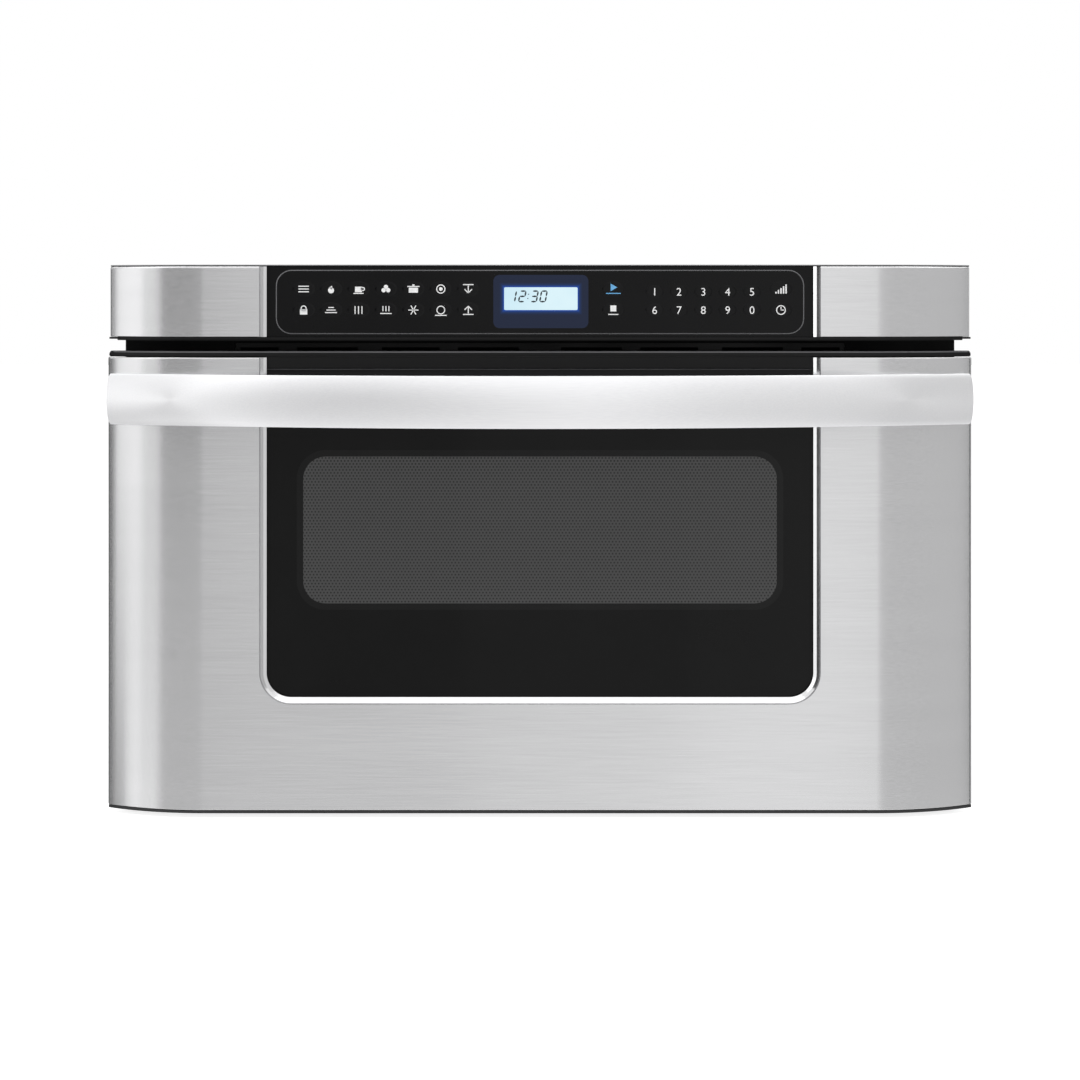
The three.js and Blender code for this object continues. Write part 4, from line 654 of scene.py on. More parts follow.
# %% [markdown]
# ## The curve of the front
# Seen from above, the front is flat in the middle and each end bends back 20 mm on one arc.
# Everything on the front follows that one curve at its own depth: the skin, the black trims, the
# handle's ends and the ends of the panel above. So the curve is one function. A flat sheet is
# cut at short, equal steps along the bends, and each point is then moved back onto the curve.

# %% The curve of the front
front_plane = skin_low.y
front_half = skin_high.x
flat_half = 233 * MM
set_back = 20 * MM
end_run = front_half - flat_half
end_radius = (end_run ** 2 + set_back ** 2) / (2 * set_back)
end_turn = math.asin(end_run / end_radius)
BEND_STEPS = 24


def front_y(x, inset=0.0):
    past = max(0.0, abs(x) - flat_half)
    return front_plane + end_radius - math.sqrt((end_radius - inset) ** 2 - past ** 2)


def cut_upright(bm, x):
    everything = bm.verts[:] + bm.edges[:] + bm.faces[:]
    bmesh.ops.bisect_plane(bm, geom=everything, dist=1e-6, plane_co=(x, 0, 0), plane_no=(1, 0, 0))


def bend_to_front(bm, inset=0.0):
    for step in range(BEND_STEPS):
        past = end_radius * math.sin(end_turn * step / BEND_STEPS)
        cut_upright(bm, flat_half + past)
        cut_upright(bm, -flat_half - past)
    for vert in bm.verts:
        vert.co.y = front_y(vert.co.x, inset)


print("front", round(2 * front_half / MM, 1), "mm wide, ends bent on", round(end_radius / MM), "mm")

# %% [markdown]
# ## Flat shapes in the plane of the front
# Nearly every piece of the front starts as a flat face in one plane. Its corners are rounded
# with a bevel of its points, and its edges are drawn straight back to give it depth.

# %% Flat shapes in the plane of the front


def flat_face(bm, corners):
    # A face in the plane of the front, its corners given anticlockwise as (x, z).
    return bm.faces.new([bm.verts.new((x, front_plane, z)) for x, z in corners])


def rectangle(bm, x0, x1, z0, z1):
    return flat_face(bm, [(x0, z0), (x1, z0), (x1, z1), (x0, z1)])


def round_corners(bm, verts, radius, segments=12):
    bmesh.ops.bevel(bm, geom=list(verts), offset=radius, offset_type="OFFSET", segments=segments,
        profile=0.5, affect="VERTICES", material=-1)


def extrude_back(bm, edges, depth):
    # Draw edges straight back to a plane, and return the new edges.
    drawn = bmesh.ops.extrude_edge_only(bm, edges=edges)["geom"]
    for vert in verts_in(drawn):
        vert.co.y = depth
    return edges_in(drawn)


# %% [markdown]
# ## Folded steel
# The skin and the two ends of the panel are sheet 0.9 mm thick, folded back beside the drawer.
# The ends of the bent sheet are extruded back, and a bevel rounds the fold. The sheet gets its
# thickness last, so that the wall is even round every bend. Then its outer edges are rounded
# along the top and the bottom. The top one is rolled over more slowly, so its round is
# stretched upright.

# %% Folded steel
sheet_thickness = 0.9 * MM
fold_radius = 1.6 * MM
top_round, top_stretch = 0.8 * MM, 1.8
bottom_round = 0.4 * MM


def round_sheet(bm, level, radius, stretch=1.0):
    # Round the sheet's outer edge at one height, and stretch that round upright by a factor.
    outer = []
    for edge in sharp_edges(bm, 50):
        upright = [f.normal for f in edge.link_faces if abs(f.normal.z) < 0.5]
        if all(abs(v.co.z - level) < CLOSE for v in edge.verts) and len(upright) == 1:
            outward = math.copysign(upright[0].x, upright[0].x * edge.verts[0].co.x)
            if max(-upright[0].y, outward) > 0.1:
                outer.append(edge)
    bevel(bm, outer, radius, 4)
    for vert in bm.verts:
        if abs(vert.co.z - level) < radius + CLOSE:
            vert.co.z = level + (vert.co.z - level) * stretch


def fold_sheet(bm, end, low, high, back):
    # Bend a flat sheet to the front, fold it back at its ends, thicken it and round its edges.
    bend_to_front(bm)
    ends = [e for e in bm.edges if all(abs(abs(v.co.x) - end) < CLOSE for v in e.verts)]
    extrude_back(bm, ends, back)
    folds = [e for e in sharp_edges(bm) if abs(e.verts[0].co.x) > end - MM]
    bevel(bm, folds, fold_radius, 5)
    bmesh.ops.solidify(bm, geom=bm.faces[:], thickness=sheet_thickness)
    bmesh.ops.recalc_face_normals(bm, faces=bm.faces[:])
    round_sheet(bm, high, top_round, top_stretch)
    round_sheet(bm, low, bottom_round)


# %% [markdown]
# ## The stainless skin
# One sheet, cut out for the glass. It is drawn flat as a U and its two inner corners are
# rounded before it is bent, because a round corner is easy to cut in a flat sheet.

# %% The stainless skin
glass_low, glass_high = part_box("front_glass")
bezel_low, bezel_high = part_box("glass_bezel")
rim_corner = 22.1 * MM
rim_half = bezel_high.x

bm = bmesh.new()
face = flat_face(bm, [(-front_half, skin_low.z), (front_half, skin_low.z),
    (front_half, skin_high.z), (rim_half, skin_high.z), (rim_half, bezel_low.z),
    (-rim_half, bezel_low.z), (-rim_half, skin_high.z), (-front_half, skin_high.z)])
round_corners(bm, [face.verts[4], face.verts[5]], rim_corner)
fold_sheet(bm, front_half, skin_low.z, skin_high.z, skin_high.y)
make_piece(bm, "drawer_skin", "drawer", [skin_steel], ["front_skin"])
print("cut out", round(2 * rim_half / MM, 1), "mm wide for the glass")

# %% [markdown]
# ## The polished rim
# Round the glass runs a narrow polished rim. Its profile is a low bead, whose crest stands
# 1.5 mm in front of the skin: a wide face leans outwards to the skin, and a narrow one falls
# inwards to the glass. So each side of the rim shows two lines, and the two sides show
# different ones. The profile is extruded down one side, spun a quarter turn round each lower
# corner, and extruded across and up again.

# %% The polished rim
seat = 0.3 * MM  # pieces that touch are this far apart
rim_width = rim_half - glass_high.x - seat
glass_front = glass_low.y
corner_radius = rim_corner - rim_width
corner_x = rim_half - rim_corner
corner_z = bezel_low.z + rim_corner
crest_y = front_plane - 1.5 * MM
inner_drop, outer_drop = 1.3 * MM, 2.3 * MM
outer_face, inner_face = 3.1 * MM, 3.3 * MM  # how far from the rim's outer edge they end
CORNER_STEPS = 14

inner_x = -rim_half + rim_width
rim_profile = [(inner_x, glass_front + seat), (inner_x, crest_y + inner_drop),
    (-rim_half + inner_face, crest_y), (-rim_half + outer_face, crest_y),
    (-rim_half, crest_y + outer_drop), (-rim_half, bezel_high.y), (inner_x, bezel_high.y)]


def draw_profile(bm, edges, move):
    drawn = bmesh.ops.extrude_edge_only(bm, edges=edges)["geom"]
    bmesh.ops.translate(bm, vec=move, verts=verts_in(drawn))
    return edges_in(drawn)


def spin_profile(bm, edges, centre):
    return edges_in(bmesh.ops.spin(bm, geom=edges, cent=centre, axis=(0, 1, 0), angle=-math.pi / 2,
        steps=CORNER_STEPS, use_merge=False, use_duplicate=False)["geom_last"])


bm = bmesh.new()
top_end = bm.faces.new([bm.verts.new((x, y, bezel_high.z)) for x, y in rim_profile])
edges = draw_profile(bm, top_end.edges[:], (0, 0, corner_z - bezel_high.z))
edges = spin_profile(bm, edges, (-corner_x, 0, corner_z))
edges = draw_profile(bm, edges, (2 * corner_x, 0, 0))
edges = spin_profile(bm, edges, (corner_x, 0, corner_z))
edges = draw_profile(bm, edges, (0, 0, bezel_high.z - corner_z))
bmesh.ops.holes_fill(bm, edges=edges)
bmesh.ops.recalc_face_normals(bm, faces=bm.faces[:])
make_piece(bm, "polished_rim", "drawer", [rim_steel], ["glass_bezel"], smooth=20)
print("the rim is", round(rim_width / MM, 1), "mm wide")

# %% [markdown]
# ## Panes with a printed window
# A pane is a flat face with rounded corners, and its window is a second outline inside it. The
# ring between the two is filled and gets the black print, the middle gets what shows through,
# and a border between them is inset. Then the face is extruded back to the pane's thickness.

# %% Panes with a printed window
BORDER, SHOWN, GROUND = 1, 2, 3  # places in a pane's list of materials, after its print


def outline_loop(bm, x0, x1, z0, z1, radius, lower_only=False, segments=12):
    # The edges of a rectangle with rounded corners, without its face.
    face = rectangle(bm, x0, x1, z0, z1)
    corners = face.verts[:2] if lower_only else face.verts[:]
    before = set(bm.edges) - set(face.edges)
    if radius > 0:
        round_corners(bm, corners, radius, segments)
    face = [f for f in bm.faces if not set(f.edges) & before][-1]
    edges = face.edges[:]
    bmesh.ops.delete(bm, geom=[face], context="FACES_ONLY")
    return edges


def fill_pane(bm, edge, hole, border):
    # Fill the ring round a hole, inset a border in the hole, and return the face in the middle.
    bmesh.ops.triangle_fill(bm, edges=edge + hole, use_beauty=True, normal=(0, -1, 0))
    middle = bmesh.ops.contextual_create(bm, geom=hole)["faces"][0]
    inset = bmesh.ops.inset_region(bm, faces=[middle], thickness=border, use_even_offset=True)
    for face in inset["faces"]:
        face.material_index = BORDER
    middle.material_index = SHOWN
    return middle


def thicken_pane(bm, front, back):
    bmesh.ops.translate(bm, vec=(0, front - front_plane, 0), verts=bm.verts)
    drawn = bmesh.ops.extrude_face_region(bm, geom=bm.faces[:], use_keep_orig=True)["geom"]
    bmesh.ops.translate(bm, vec=(0, back - front, 0), verts=verts_in(drawn))
    bmesh.ops.recalc_face_normals(bm, faces=bm.faces[:])


# %% [markdown]
# ## The front glass
# The drawer's glass fills the steel's cut-out, so only its lower corners are round. Its window
# shows the screen of the oven. The front edge along the top is ground to a small slope, which
# catches a line of light.

# %% The front glass
window_half = 164.4 * MM
window_bottom = 148.4 * MM
window_top = 250.4 * MM
window_corner = 15.6 * MM
border = 4.5 * MM
ground_slope = 0.8 * MM


def grind_edge(bm, front, low, width):
    # Cut a slope along the pane's front edges above a height, and leave it ground, not polished.
    rim = [e for e in sharp_edges(bm, 60) if all(v.co.y < front + CLOSE and v.co.z > low
        for v in e.verts)]
    for face in bevel(bm, rim, width, 1):
        face.material_index = GROUND


bm = bmesh.new()
edge = outline_loop(bm, glass_low.x, glass_high.x, glass_low.z, glass_high.z,
    corner_radius - seat, lower_only=True)
hole = outline_loop(bm, -window_half - border, window_half + border, window_bottom - border,
    window_top + border, window_corner + border)
fill_pane(bm, edge, hole, border)
thicken_pane(bm, glass_front, glass_high.y)
grind_edge(bm, glass_front, glass_high.z - MM, ground_slope)
make_piece(bm, "window_glass", "drawer", [front_black, glass_border, window_grey, ground_edge],
    ["front_glass"], smooth=20)

# %% [markdown]
# ## The handle
# The handle is a crowned steel bar bowed on one wide arc, so its middle stands clear of the
# glass and its ends lie on the skin. Its section is drawn once as a closed outline, turned to
# one end and spun round the arc's centre to the other. Where the back would enter the curved
# front, it is pressed flat against the skin, as the real ends are ground to fit. The rows of its
# face stand closer towards its edges, where its crown and its rounded corners bend most. A high
# power of the height draws in its four outer corners and leaves the ends between them straight.

# %% The handle
handle_low, handle_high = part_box("handle_bar")
handle_half = handle_high.x
handle_z = (handle_low.z + handle_high.z) / 2
half_height = (handle_high.z - handle_low.z) / 2
handle_sag = 62 * MM
handle_radius = (handle_half ** 2 + handle_sag ** 2) / (2 * handle_sag)
handle_thickness = 9 * MM
handle_crown = 3 * MM
back_inset = 2 * MM
end_corner = 1.5 * MM
CORNER_POWER = 14
CROWN_STEPS = 16
BOW_STEPS = 80

bm = bmesh.new()
centre = (0, handle_low.y + handle_radius, handle_z)
section = []
for i in range(CROWN_STEPS + 1):
    across = math.sin(math.pi * (i / CROWN_STEPS - 0.5))
    depth = handle_low.y + handle_crown * across * across
    section.append(bm.verts.new((0, depth, handle_z + across * half_height)))
for side in (1, -1):
    height = handle_z + side * (half_height - back_inset)
    section.append(bm.verts.new((0, handle_low.y + handle_thickness, height)))
half_turn = math.asin(handle_half / handle_radius)
bmesh.ops.rotate(bm, cent=centre, matrix=Matrix.Rotation(-half_turn, 3, "Z"), verts=bm.verts)
left_end = bm.faces.new(section)
spun = bmesh.ops.spin(bm, geom=left_end.edges[:], cent=centre, axis=(0, 0, 1),
    angle=2 * half_turn, steps=BOW_STEPS, use_merge=False, use_duplicate=False)["geom_last"]
bmesh.ops.holes_fill(bm, edges=edges_in(spun))
for vert in bm.verts:
    height = (vert.co.z - handle_z) / half_height
    reach = handle_half - end_corner * abs(height) ** CORNER_POWER
    vert.co.x *= reach / handle_half
    vert.co.y = min(vert.co.y, front_y(vert.co.x) - seat)
bmesh.ops.recalc_face_normals(bm, faces=bm.faces[:])
round_edges(bm, 1.1 * MM, 4, 40)
make_piece(bm, "bowed_handle", "drawer", [handle_steel_painted_pale], ["handle_bar"])
print("the handle stands", round((glass_front - handle_low.y) / MM, 1), "mm in front of the glass")

# %% [markdown]
# ## Black trims along the drawer
# A moulded cap runs along the top of the skin, with a deeper face above the glass, and a strip
# closes the bottom. Each is a flat slab bent to the front's curve, a little behind the steel.

# %% Black trims along the drawer


def curved_slab(left, right, low, high, inset, back):
    # A slab whose face follows the front at an inset, and whose back is flat.
    bm = bmesh.new()
    rectangle(bm, left, right, low, high)
    bend_to_front(bm, inset)
    drawn = extrude_back(bm, [e for e in bm.edges if e.is_boundary], back)
    bmesh.ops.holes_fill(bm, edges=drawn)
    bmesh.ops.recalc_face_normals(bm, faces=bm.faces[:])
    return bm


def paint_highlight_on_upper_round(bm, lowest):
    # Faces of a moulding's top round get the second material, a paler grey that paints a highlight
    # along the edge.
    bm.normal_update()
    for face in bm.faces:
        if face.normal.z > lowest and face.normal.y < -0.2:
            face.material_index = 1


def add_block(bm, low, high):
    corners = bmesh.ops.create_cube(bm, size=1)["verts"]
    bmesh.ops.scale(bm, vec=high - low, verts=corners)
    bmesh.ops.translate(bm, vec=(low + high) / 2, verts=corners)


cap_low, cap_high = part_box("top_trim")
cap_rise = 4.1 * MM
face_overlap = 1.5 * MM
face_inset = 1.5 * MM
bm = curved_slab(cap_low.x, cap_high.x, cap_high.z - cap_rise, cap_high.z, 0.8 * MM, cap_high.y)
ends = [e for e in bm.edges if all(abs(v.co.x) > cap_high.x - CLOSE
    and v.co.z > cap_high.z - CLOSE for v in e.verts)]
bevel(bm, ends, 2.6 * MM, 5)
round_edges(bm, 1.1 * MM, 3, 40, clamp=False)
# The cap's upper round gets the second material, a painted highlight.
paint_highlight_on_upper_round(bm, 0.2)
add_block(bm, Vector((-glass_high.x, front_plane + face_inset, cap_low.z)),
    Vector((glass_high.x, glass_high.y, cap_high.z - cap_rise + face_overlap)))
make_piece(bm, "top_cap", "drawer", [moulded_black, painted_highlight_dark_grey], ["top_trim"])

strip_low, strip_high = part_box("bottom_trim")
bm = curved_slab(strip_low.x, strip_high.x, strip_low.z, strip_high.z, 0.4 * MM, strip_high.y)
round_edges(bm, 0.4 * MM, 2, 40)
make_piece(bm, "bottom_strip", "drawer", [moulded_grey], ["bottom_trim"])

# %% [markdown]
# ## The ends of the control panel
# Both ends of the panel are folded like the skin, with the same rim between sheet and glass.
# Each is made for the right side and mirrored for the left one. A mirror turns a shape inside
# out, so its normals are worked out again. A thin moulding closes the panel's top, and its front
# edge is a lighter grey, a painted highlight along it.

# %% The ends of the control panel
trim_low, trim_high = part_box("panel_trim_right")
pane_low, pane_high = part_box("control_glass")
steel_top = trim_high.z - 0.9 * MM
edge_height = 1.1 * MM
edge_inset = 1.1 * MM


def panel_sheet():
    bm = bmesh.new()
    rectangle(bm, rim_half, trim_high.x, trim_low.z, steel_top)
    fold_sheet(bm, trim_high.x, trim_low.z, steel_top, trim_high.y)
    return bm


def panel_rim():
    bm = bmesh.new()
    profile = [bm.verts.new((-x, y, trim_low.z)) for x, y in rim_profile]
    bmesh.ops.contextual_create(bm, geom=profile)
    drawn = bmesh.ops.extrude_face_region(bm, geom=bm.faces[:], use_keep_orig=True)["geom"]
    bmesh.ops.translate(bm, vec=(0, 0, steel_top - trim_low.z), verts=verts_in(drawn))
    bmesh.ops.recalc_face_normals(bm, faces=bm.faces[:])
    return bm


for side in ("left", "right"):
    for shape, name, steel, smooth in ((panel_sheet, "panel_end_", skin_steel, 50),
            (panel_rim, "panel_rim_", rim_steel, 20)):
        bm = shape()
        if side == "left":
            bmesh.ops.scale(bm, vec=(-1, 1, 1), verts=bm.verts)
            bmesh.ops.recalc_face_normals(bm, faces=bm.faces[:])
        make_piece(bm, name + side, "chassis", [steel], ["panel_trim_" + side],
            smooth)

bm = curved_slab(-trim_high.x, trim_high.x, pane_high.z - edge_height, pane_high.z, edge_inset,
    trim_high.y)
round_edges(bm, 0.5 * MM, 3, 40)
# The edge's front and upper faces get the lighter grey, a painted highlight.
paint_highlight_on_upper_round(bm, -0.1)
make_piece(bm, "panel_top_edge", "chassis", [moulded_black, painted_highlight_grey])

# %% [markdown]
# ## The display's light
# Behind the film of the control panel sits a display. Its lens is dark blue acrylic, and light
# leaks into it along the edge of the lit window, so its glow fades outwards over a few
# millimetres: the material measures how far a point lies outside the window's rectangle. The
# window itself is a liquid crystal lit from behind, a very pale blue that is a little uneven.

# %% The display's light
display_middle = Vector((0.6 * MM, 0, 358 * MM))
lens_half = Vector((33 * MM, 0, 18.5 * MM))
lens_corner = 4.3 * MM
lens_border = 3 * MM
lit_half = Vector((25.5 * MM, 0, 7.9 * MM))
lit_rise = Vector((0, 0, 2.0 * MM))
glow_reach = 10 * MM

display_lens, tree = new_material("blue_display_lens")
place = add_node(tree, "ShaderNodeTexCoord").outputs["Object"]
from_middle = add_node(tree, "ShaderNodeVectorMath", {0: place, 1: display_middle + lit_rise},
    operation="SUBTRACT")
folded = add_node(tree, "ShaderNodeVectorMath", {0: from_middle.outputs[0]}, operation="ABSOLUTE")
outside = add_node(tree, "ShaderNodeVectorMath", {0: folded.outputs[0], 1: lit_half},
    operation="SUBTRACT")
across = add_node(tree, "ShaderNodeSeparateXYZ", {"Vector": outside.outputs[0]})
away = add_node(tree, "ShaderNodeMath", {0: across.outputs["X"], 1: across.outputs["Z"]},
    operation="MAXIMUM")
share = add_node(tree, "ShaderNodeMath", {0: away.outputs[0], 1: 1 / glow_reach},
    operation="MULTIPLY")
glow = add_node(tree, "ShaderNodeValToRGB", {"Fac": share.outputs[0]},
    stops=[(0.0, "#1450B8"), (0.07, "#123C88"), (0.18, "#132A54"), (0.33, "#141E36")])
surface = add_node(tree, "ShaderNodeBsdfPrincipled", {"Base Color": "#0A0D16", "Roughness": 0.12,
    "IOR": 1.52, "Specular IOR Level": 0.18, "Emission Color": glow.outputs[0],
    "Emission Strength": 0.9})
add_node(tree, "ShaderNodeOutputMaterial", {"Surface": surface.outputs[0]})

lit_window, tree = new_material("lit_crystal_display")
place = add_node(tree, "ShaderNodeTexCoord").outputs["Object"]
patches = add_node(tree, "ShaderNodeTexNoise", {"Vector": place, "Scale": 30.0})
light = add_node(tree, "ShaderNodeValToRGB", {"Fac": patches.outputs["Fac"]},
    stops=[(0.3, "#CBEAF7"), (0.7, "#DDF5FC")])
surface = add_node(tree, "ShaderNodeBsdfPrincipled", {"Base Color": "#20282C", "Roughness": 0.15,
    "Specular IOR Level": 0.25, "Emission Color": light.outputs[0], "Emission Strength": 0.95})
add_node(tree, "ShaderNodeOutputMaterial", {"Surface": surface.outputs[0]})
print("display:", display_lens.name, "and", lit_window.name)

# %% [markdown]
# ## The touch panel's pane
# The pane is made like the drawer's: the ring round the lens is filled, a border is inset in the
# lens, and the pane gets its thickness. Before that, the face inside the border is drawn to the
# size and place of the lit window, which sits a little above the lens's middle.

# %% The touch panel's pane
bm = bmesh.new()
pane_top = pane_high.z - 1.2 * MM
edge = outline_loop(bm, pane_low.x, pane_high.x, pane_low.z, pane_top, 0)
lens = outline_loop(bm, display_middle.x - lens_half.x, display_middle.x + lens_half.x,
    display_middle.z - lens_half.z, display_middle.z + lens_half.z, lens_corner, segments=6)
shown = fill_pane(bm, edge, lens, lens_border).verts[:]
bmesh.ops.translate(bm, vec=-display_middle, verts=shown)
bmesh.ops.scale(bm, vec=(lit_half.x / (lens_half.x - lens_border), 1,
    lit_half.z / (lens_half.z - lens_border)), verts=shown)
bmesh.ops.translate(bm, vec=display_middle + lit_rise, verts=shown)
thicken_pane(bm, pane_low.y, pane_high.y)
make_piece(bm, "touch_pane", "chassis", [touch_black, display_lens, lit_window],
    ["control_glass"], smooth=20)

# %% [markdown]
# ## The keypad's relief
# The keys are flat switches under a film. The film is embossed: a thin bead runs round the
# keypad, and each key is a shallow oval pillow that a finger can find. The bead is a rounded
# rectangle inset twice, with the line between the two insets raised. A pillow is a circle
# stretched to an oval, and it is inset and lifted twice, to a quarter of a millimetre in all.

# %% The keypad's relief
film_y = pane_low.y
relief_y = film_y - 0.02 * MM
key_columns = [(-164.1 + 19.05 * i) * MM for i in range(7)]
key_rows = [366.7 * MM, 352.1 * MM]
digit_columns = [(79.6 + 16.9 * i) * MM for i in range(5)]
digit_rows = [364.8 * MM, 352.1 * MM]
start_column = 50.9 * MM
clock_column = 167.3 * MM
wide_oval = (7.9 * MM, 5.4 * MM)
small_oval = (6.4 * MM, 4.6 * MM)
pad_half = 183.4 * MM
pad_low = 335.4 * MM
pad_high = 380.0 * MM
pad_corner = 11 * MM
bead_half = 0.35 * MM
emboss = 0.25 * MM


def lift(bm, verts, height):
    bmesh.ops.translate(bm, vec=(0, -height, 0), verts=verts)


def inset_face(bm, face, width):
    # The inset measures along the face's own plane, so its normal has to be fresh.
    bm.normal_update()
    bmesh.ops.inset_region(bm, faces=[face], thickness=width, use_even_offset=True,
        use_boundary=True)


def pillow(bm, x, z, half):
    oval = bmesh.ops.create_circle(bm, cap_ends=True, segments=36, radius=1)["verts"]
    face = oval[0].link_faces[0]
    bmesh.ops.scale(bm, vec=(half[0], half[1], 1), verts=oval)
    bmesh.ops.rotate(bm, cent=(0, 0, 0), matrix=stand_up, verts=oval)
    bmesh.ops.translate(bm, vec=(x, relief_y, z), verts=oval)
    for width, share in ((0.7 * MM, 0.6), (0.9 * MM, 0.4)):
        inset_face(bm, face, width)
        lift(bm, face.verts, share * emboss)


bm = bmesh.new()
outline = outline_loop(bm, -pad_half, pad_half, pad_low, pad_high, pad_corner, segments=10)
pad = bmesh.ops.contextual_create(bm, geom=outline)["faces"][0]
bmesh.ops.translate(bm, vec=(0, relief_y - front_plane, 0), verts=bm.verts)
inset_face(bm, pad, bead_half)
crest = pad.verts[:]
inset_face(bm, pad, bead_half)
lift(bm, crest, emboss)
bmesh.ops.delete(bm, geom=[pad], context="FACES_ONLY")
# The bead gets the grey: a painted highlight along its crest.
for face in bm.faces:
    face.material_index = 1
# The pillows keep the first material, the paler film: a painted sheen.
for z in key_rows:
    for x in key_columns + [start_column, clock_column]:
        pillow(bm, x, z, wide_oval)
for z in digit_rows:
    for x in digit_columns:
        pillow(bm, x, z, small_oval)
make_piece(bm, "keypad_relief", "chassis", [raised_film_painted_sheen, bead_painted_highlight])

# %% [markdown]
# ## Strokes of print
# Print is so thin that flat faces stand for it, a few hundredths of a millimetre in front of
# what it is printed on. Every sign is put together from three strokes: a bar, a disc and a ring.
# Each is made flat on the ground round the origin, turned, stood up and moved to its place.

# %% Strokes of print
print_y = relief_y - emboss - 0.07 * MM


def place_flat(bm, verts, x, z, degrees=0):
    turn = stand_up @ Matrix.Rotation(math.radians(degrees), 3, "Z")
    bmesh.ops.rotate(bm, cent=(0, 0, 0), matrix=turn, verts=verts)
    bmesh.ops.translate(bm, vec=(x, print_y, z), verts=verts)


def bar(bm, x, z, width, height, degrees=0):
    verts = bmesh.ops.create_grid(bm, x_segments=1, y_segments=1, size=0.5)["verts"]
    bmesh.ops.scale(bm, vec=(width, height, 1), verts=verts)
    place_flat(bm, verts, x, z, degrees)


def disc(bm, x, z, radius, degrees=0, corners=20):
    verts = bmesh.ops.create_circle(bm, cap_ends=True, segments=corners, radius=radius)["verts"]
    place_flat(bm, verts, x, z, degrees)


def ring(bm, x, z, radius, line):
    verts = bmesh.ops.create_circle(bm, cap_ends=True, segments=24, radius=radius)["verts"]
    face = verts[0].link_faces[0]
    place_flat(bm, verts, x, z)
    inset_face(bm, face, line)
    bmesh.ops.delete(bm, geom=[face], context="FACES")


def turn_to_front(bm):
    for face in bm.faces:
        if face.normal.y > 0:
            face.normal_flip()


# %% [markdown]
# ## Signs on the keys
# The number keys carry plain digits. The other keys get simple signs of this script's own: a
# snowflake for thawing, a cup, a clock, arrows for the drawer. Each sign is a short list of
# strokes, whose places from the key's middle and whose sizes are counted in units of 1.6 mm. A
# disc with three corners is a triangle.

# %% Signs on the keys
SIGN_UNIT = 1.6 * MM
LINE = 0.42


def arrow_head(side):
    return [(bar, x, -0.9 * side, 2.3, LINE, 45 * side * math.copysign(1, x)) for x in (-0.8, 0.8)]


signs = {
    "menu": [(bar, 0, z, 4.6, LINE) for z in (1.2, 0, -1.2)],
    "drop": [(disc, 0, -0.6, 1.3), (disc, 0, 0.6, 0.95, 90, 3)],
    "cup": [(bar, 0, -0.2, 3.0, 2.4), (ring, 1.9, 0, 0.9, LINE), (bar, 0, -1.9, 4.4, LINE)],
    "popped_corn": [(disc, -1, -0.5, 0.95), (disc, 1, -0.5, 0.95), (disc, 0, 0.9, 0.95)],
    "pot": [(bar, 0, -0.5, 4.0, 2.2), (bar, 0, 1.1, 5.4, LINE), (bar, 0, 1.7, 1.0, 0.6)],
    "warm_again": [(ring, 0, 0, 2.0, LINE), (disc, 0, 0, 0.8)],
    "open": [(bar, 0, 1.9, 4.6, LINE), (bar, 0, 0, LINE, 3.0)] + arrow_head(1),
    "lock": [(bar, 0, -0.8, 3.2, 2.3), (ring, 0, 0.7, 1.3, LINE)],
    "soften": [(bar, 0, z, w, LINE) for z, w in ((1.1, 2.4), (0, 4.0), (-1.1, 5.2))],
    "warm": [(bar, x, 0, LINE, 3.4) for x in (-1.5, 0, 1.5)],
    "keep_warm": [(bar, x, 0.6, LINE, 2.2) for x in (-1.3, 0, 1.3)] + [(bar, 0, -1.5, 5, LINE)],
    "thaw": [(bar, 0, 0, 4.4, LINE, turn) for turn in (0, 60, 120)],
    "plate": [(ring, 0, 0, 1.9, LINE), (bar, 0, -2.3, 5, LINE)],
    "close": [(bar, 0, -1.9, 4.6, LINE), (bar, 0, 0, LINE, 3.0)] + arrow_head(-1),
    "start": [(disc, -0.2, 0.7, 1.9, -90, 3), (bar, 0, -1.9, 6.4, LINE)],
    "stop": [(bar, 0, 0.7, 2.6, 2.6), (bar, 0, -1.9, 4.4, LINE)],
    "power": [(bar, -2.2 + 1.1 * i, -1.6 + 0.4 * i, 0.6, 0.8 * (i + 1)) for i in range(5)],
    "clock": [(ring, 0, 0, 2.1, LINE), (bar, 0, 0.6, LINE, 1.5), (bar, 0.55, 0, 1.4, LINE)],
}


def draw_sign(bm, name, x, z):
    for stroke, across, up, *sizes in signs[name]:
        lengths = 1 if stroke is disc else 2
        sizes = [s * SIGN_UNIT for s in sizes[:lengths]] + sizes[lengths:]
        stroke(bm, x + across * SIGN_UNIT, z + up * SIGN_UNIT, *sizes)


print(len(signs), "signs")

# %% [markdown]
# ## Printing the keypad
# Digits come from Blender's own typeface. A text object is turned into a mesh, which is added to
# the print at its place, and the text object is thrown away. The drawing order matters only for
# the colour: all faces after the white ones are blue.

# %% Printing the keypad
DIGIT_SHARE = 0.7  # a digit's height, as a share of the size of its type
digit_tall = 5.4 * MM


def draw_digit(bm, text, x, z):
    curve = bpy.data.curves.new("digit", "FONT")
    curve.body = text
    curve.size = digit_tall / DIGIT_SHARE
    curve.align_x = "CENTER"
    curve.resolution_u = 4
    writing = bpy.data.objects.new("digit", curve)
    mesh = bpy.data.meshes.new_from_object(writing)
    known = set(bm.verts)
    bm.from_mesh(mesh)
    place_flat(bm, [v for v in bm.verts if v not in known], x, z - digit_tall / 2)
    bpy.data.objects.remove(writing)
    bpy.data.curves.remove(curve)
    bpy.data.meshes.remove(mesh)


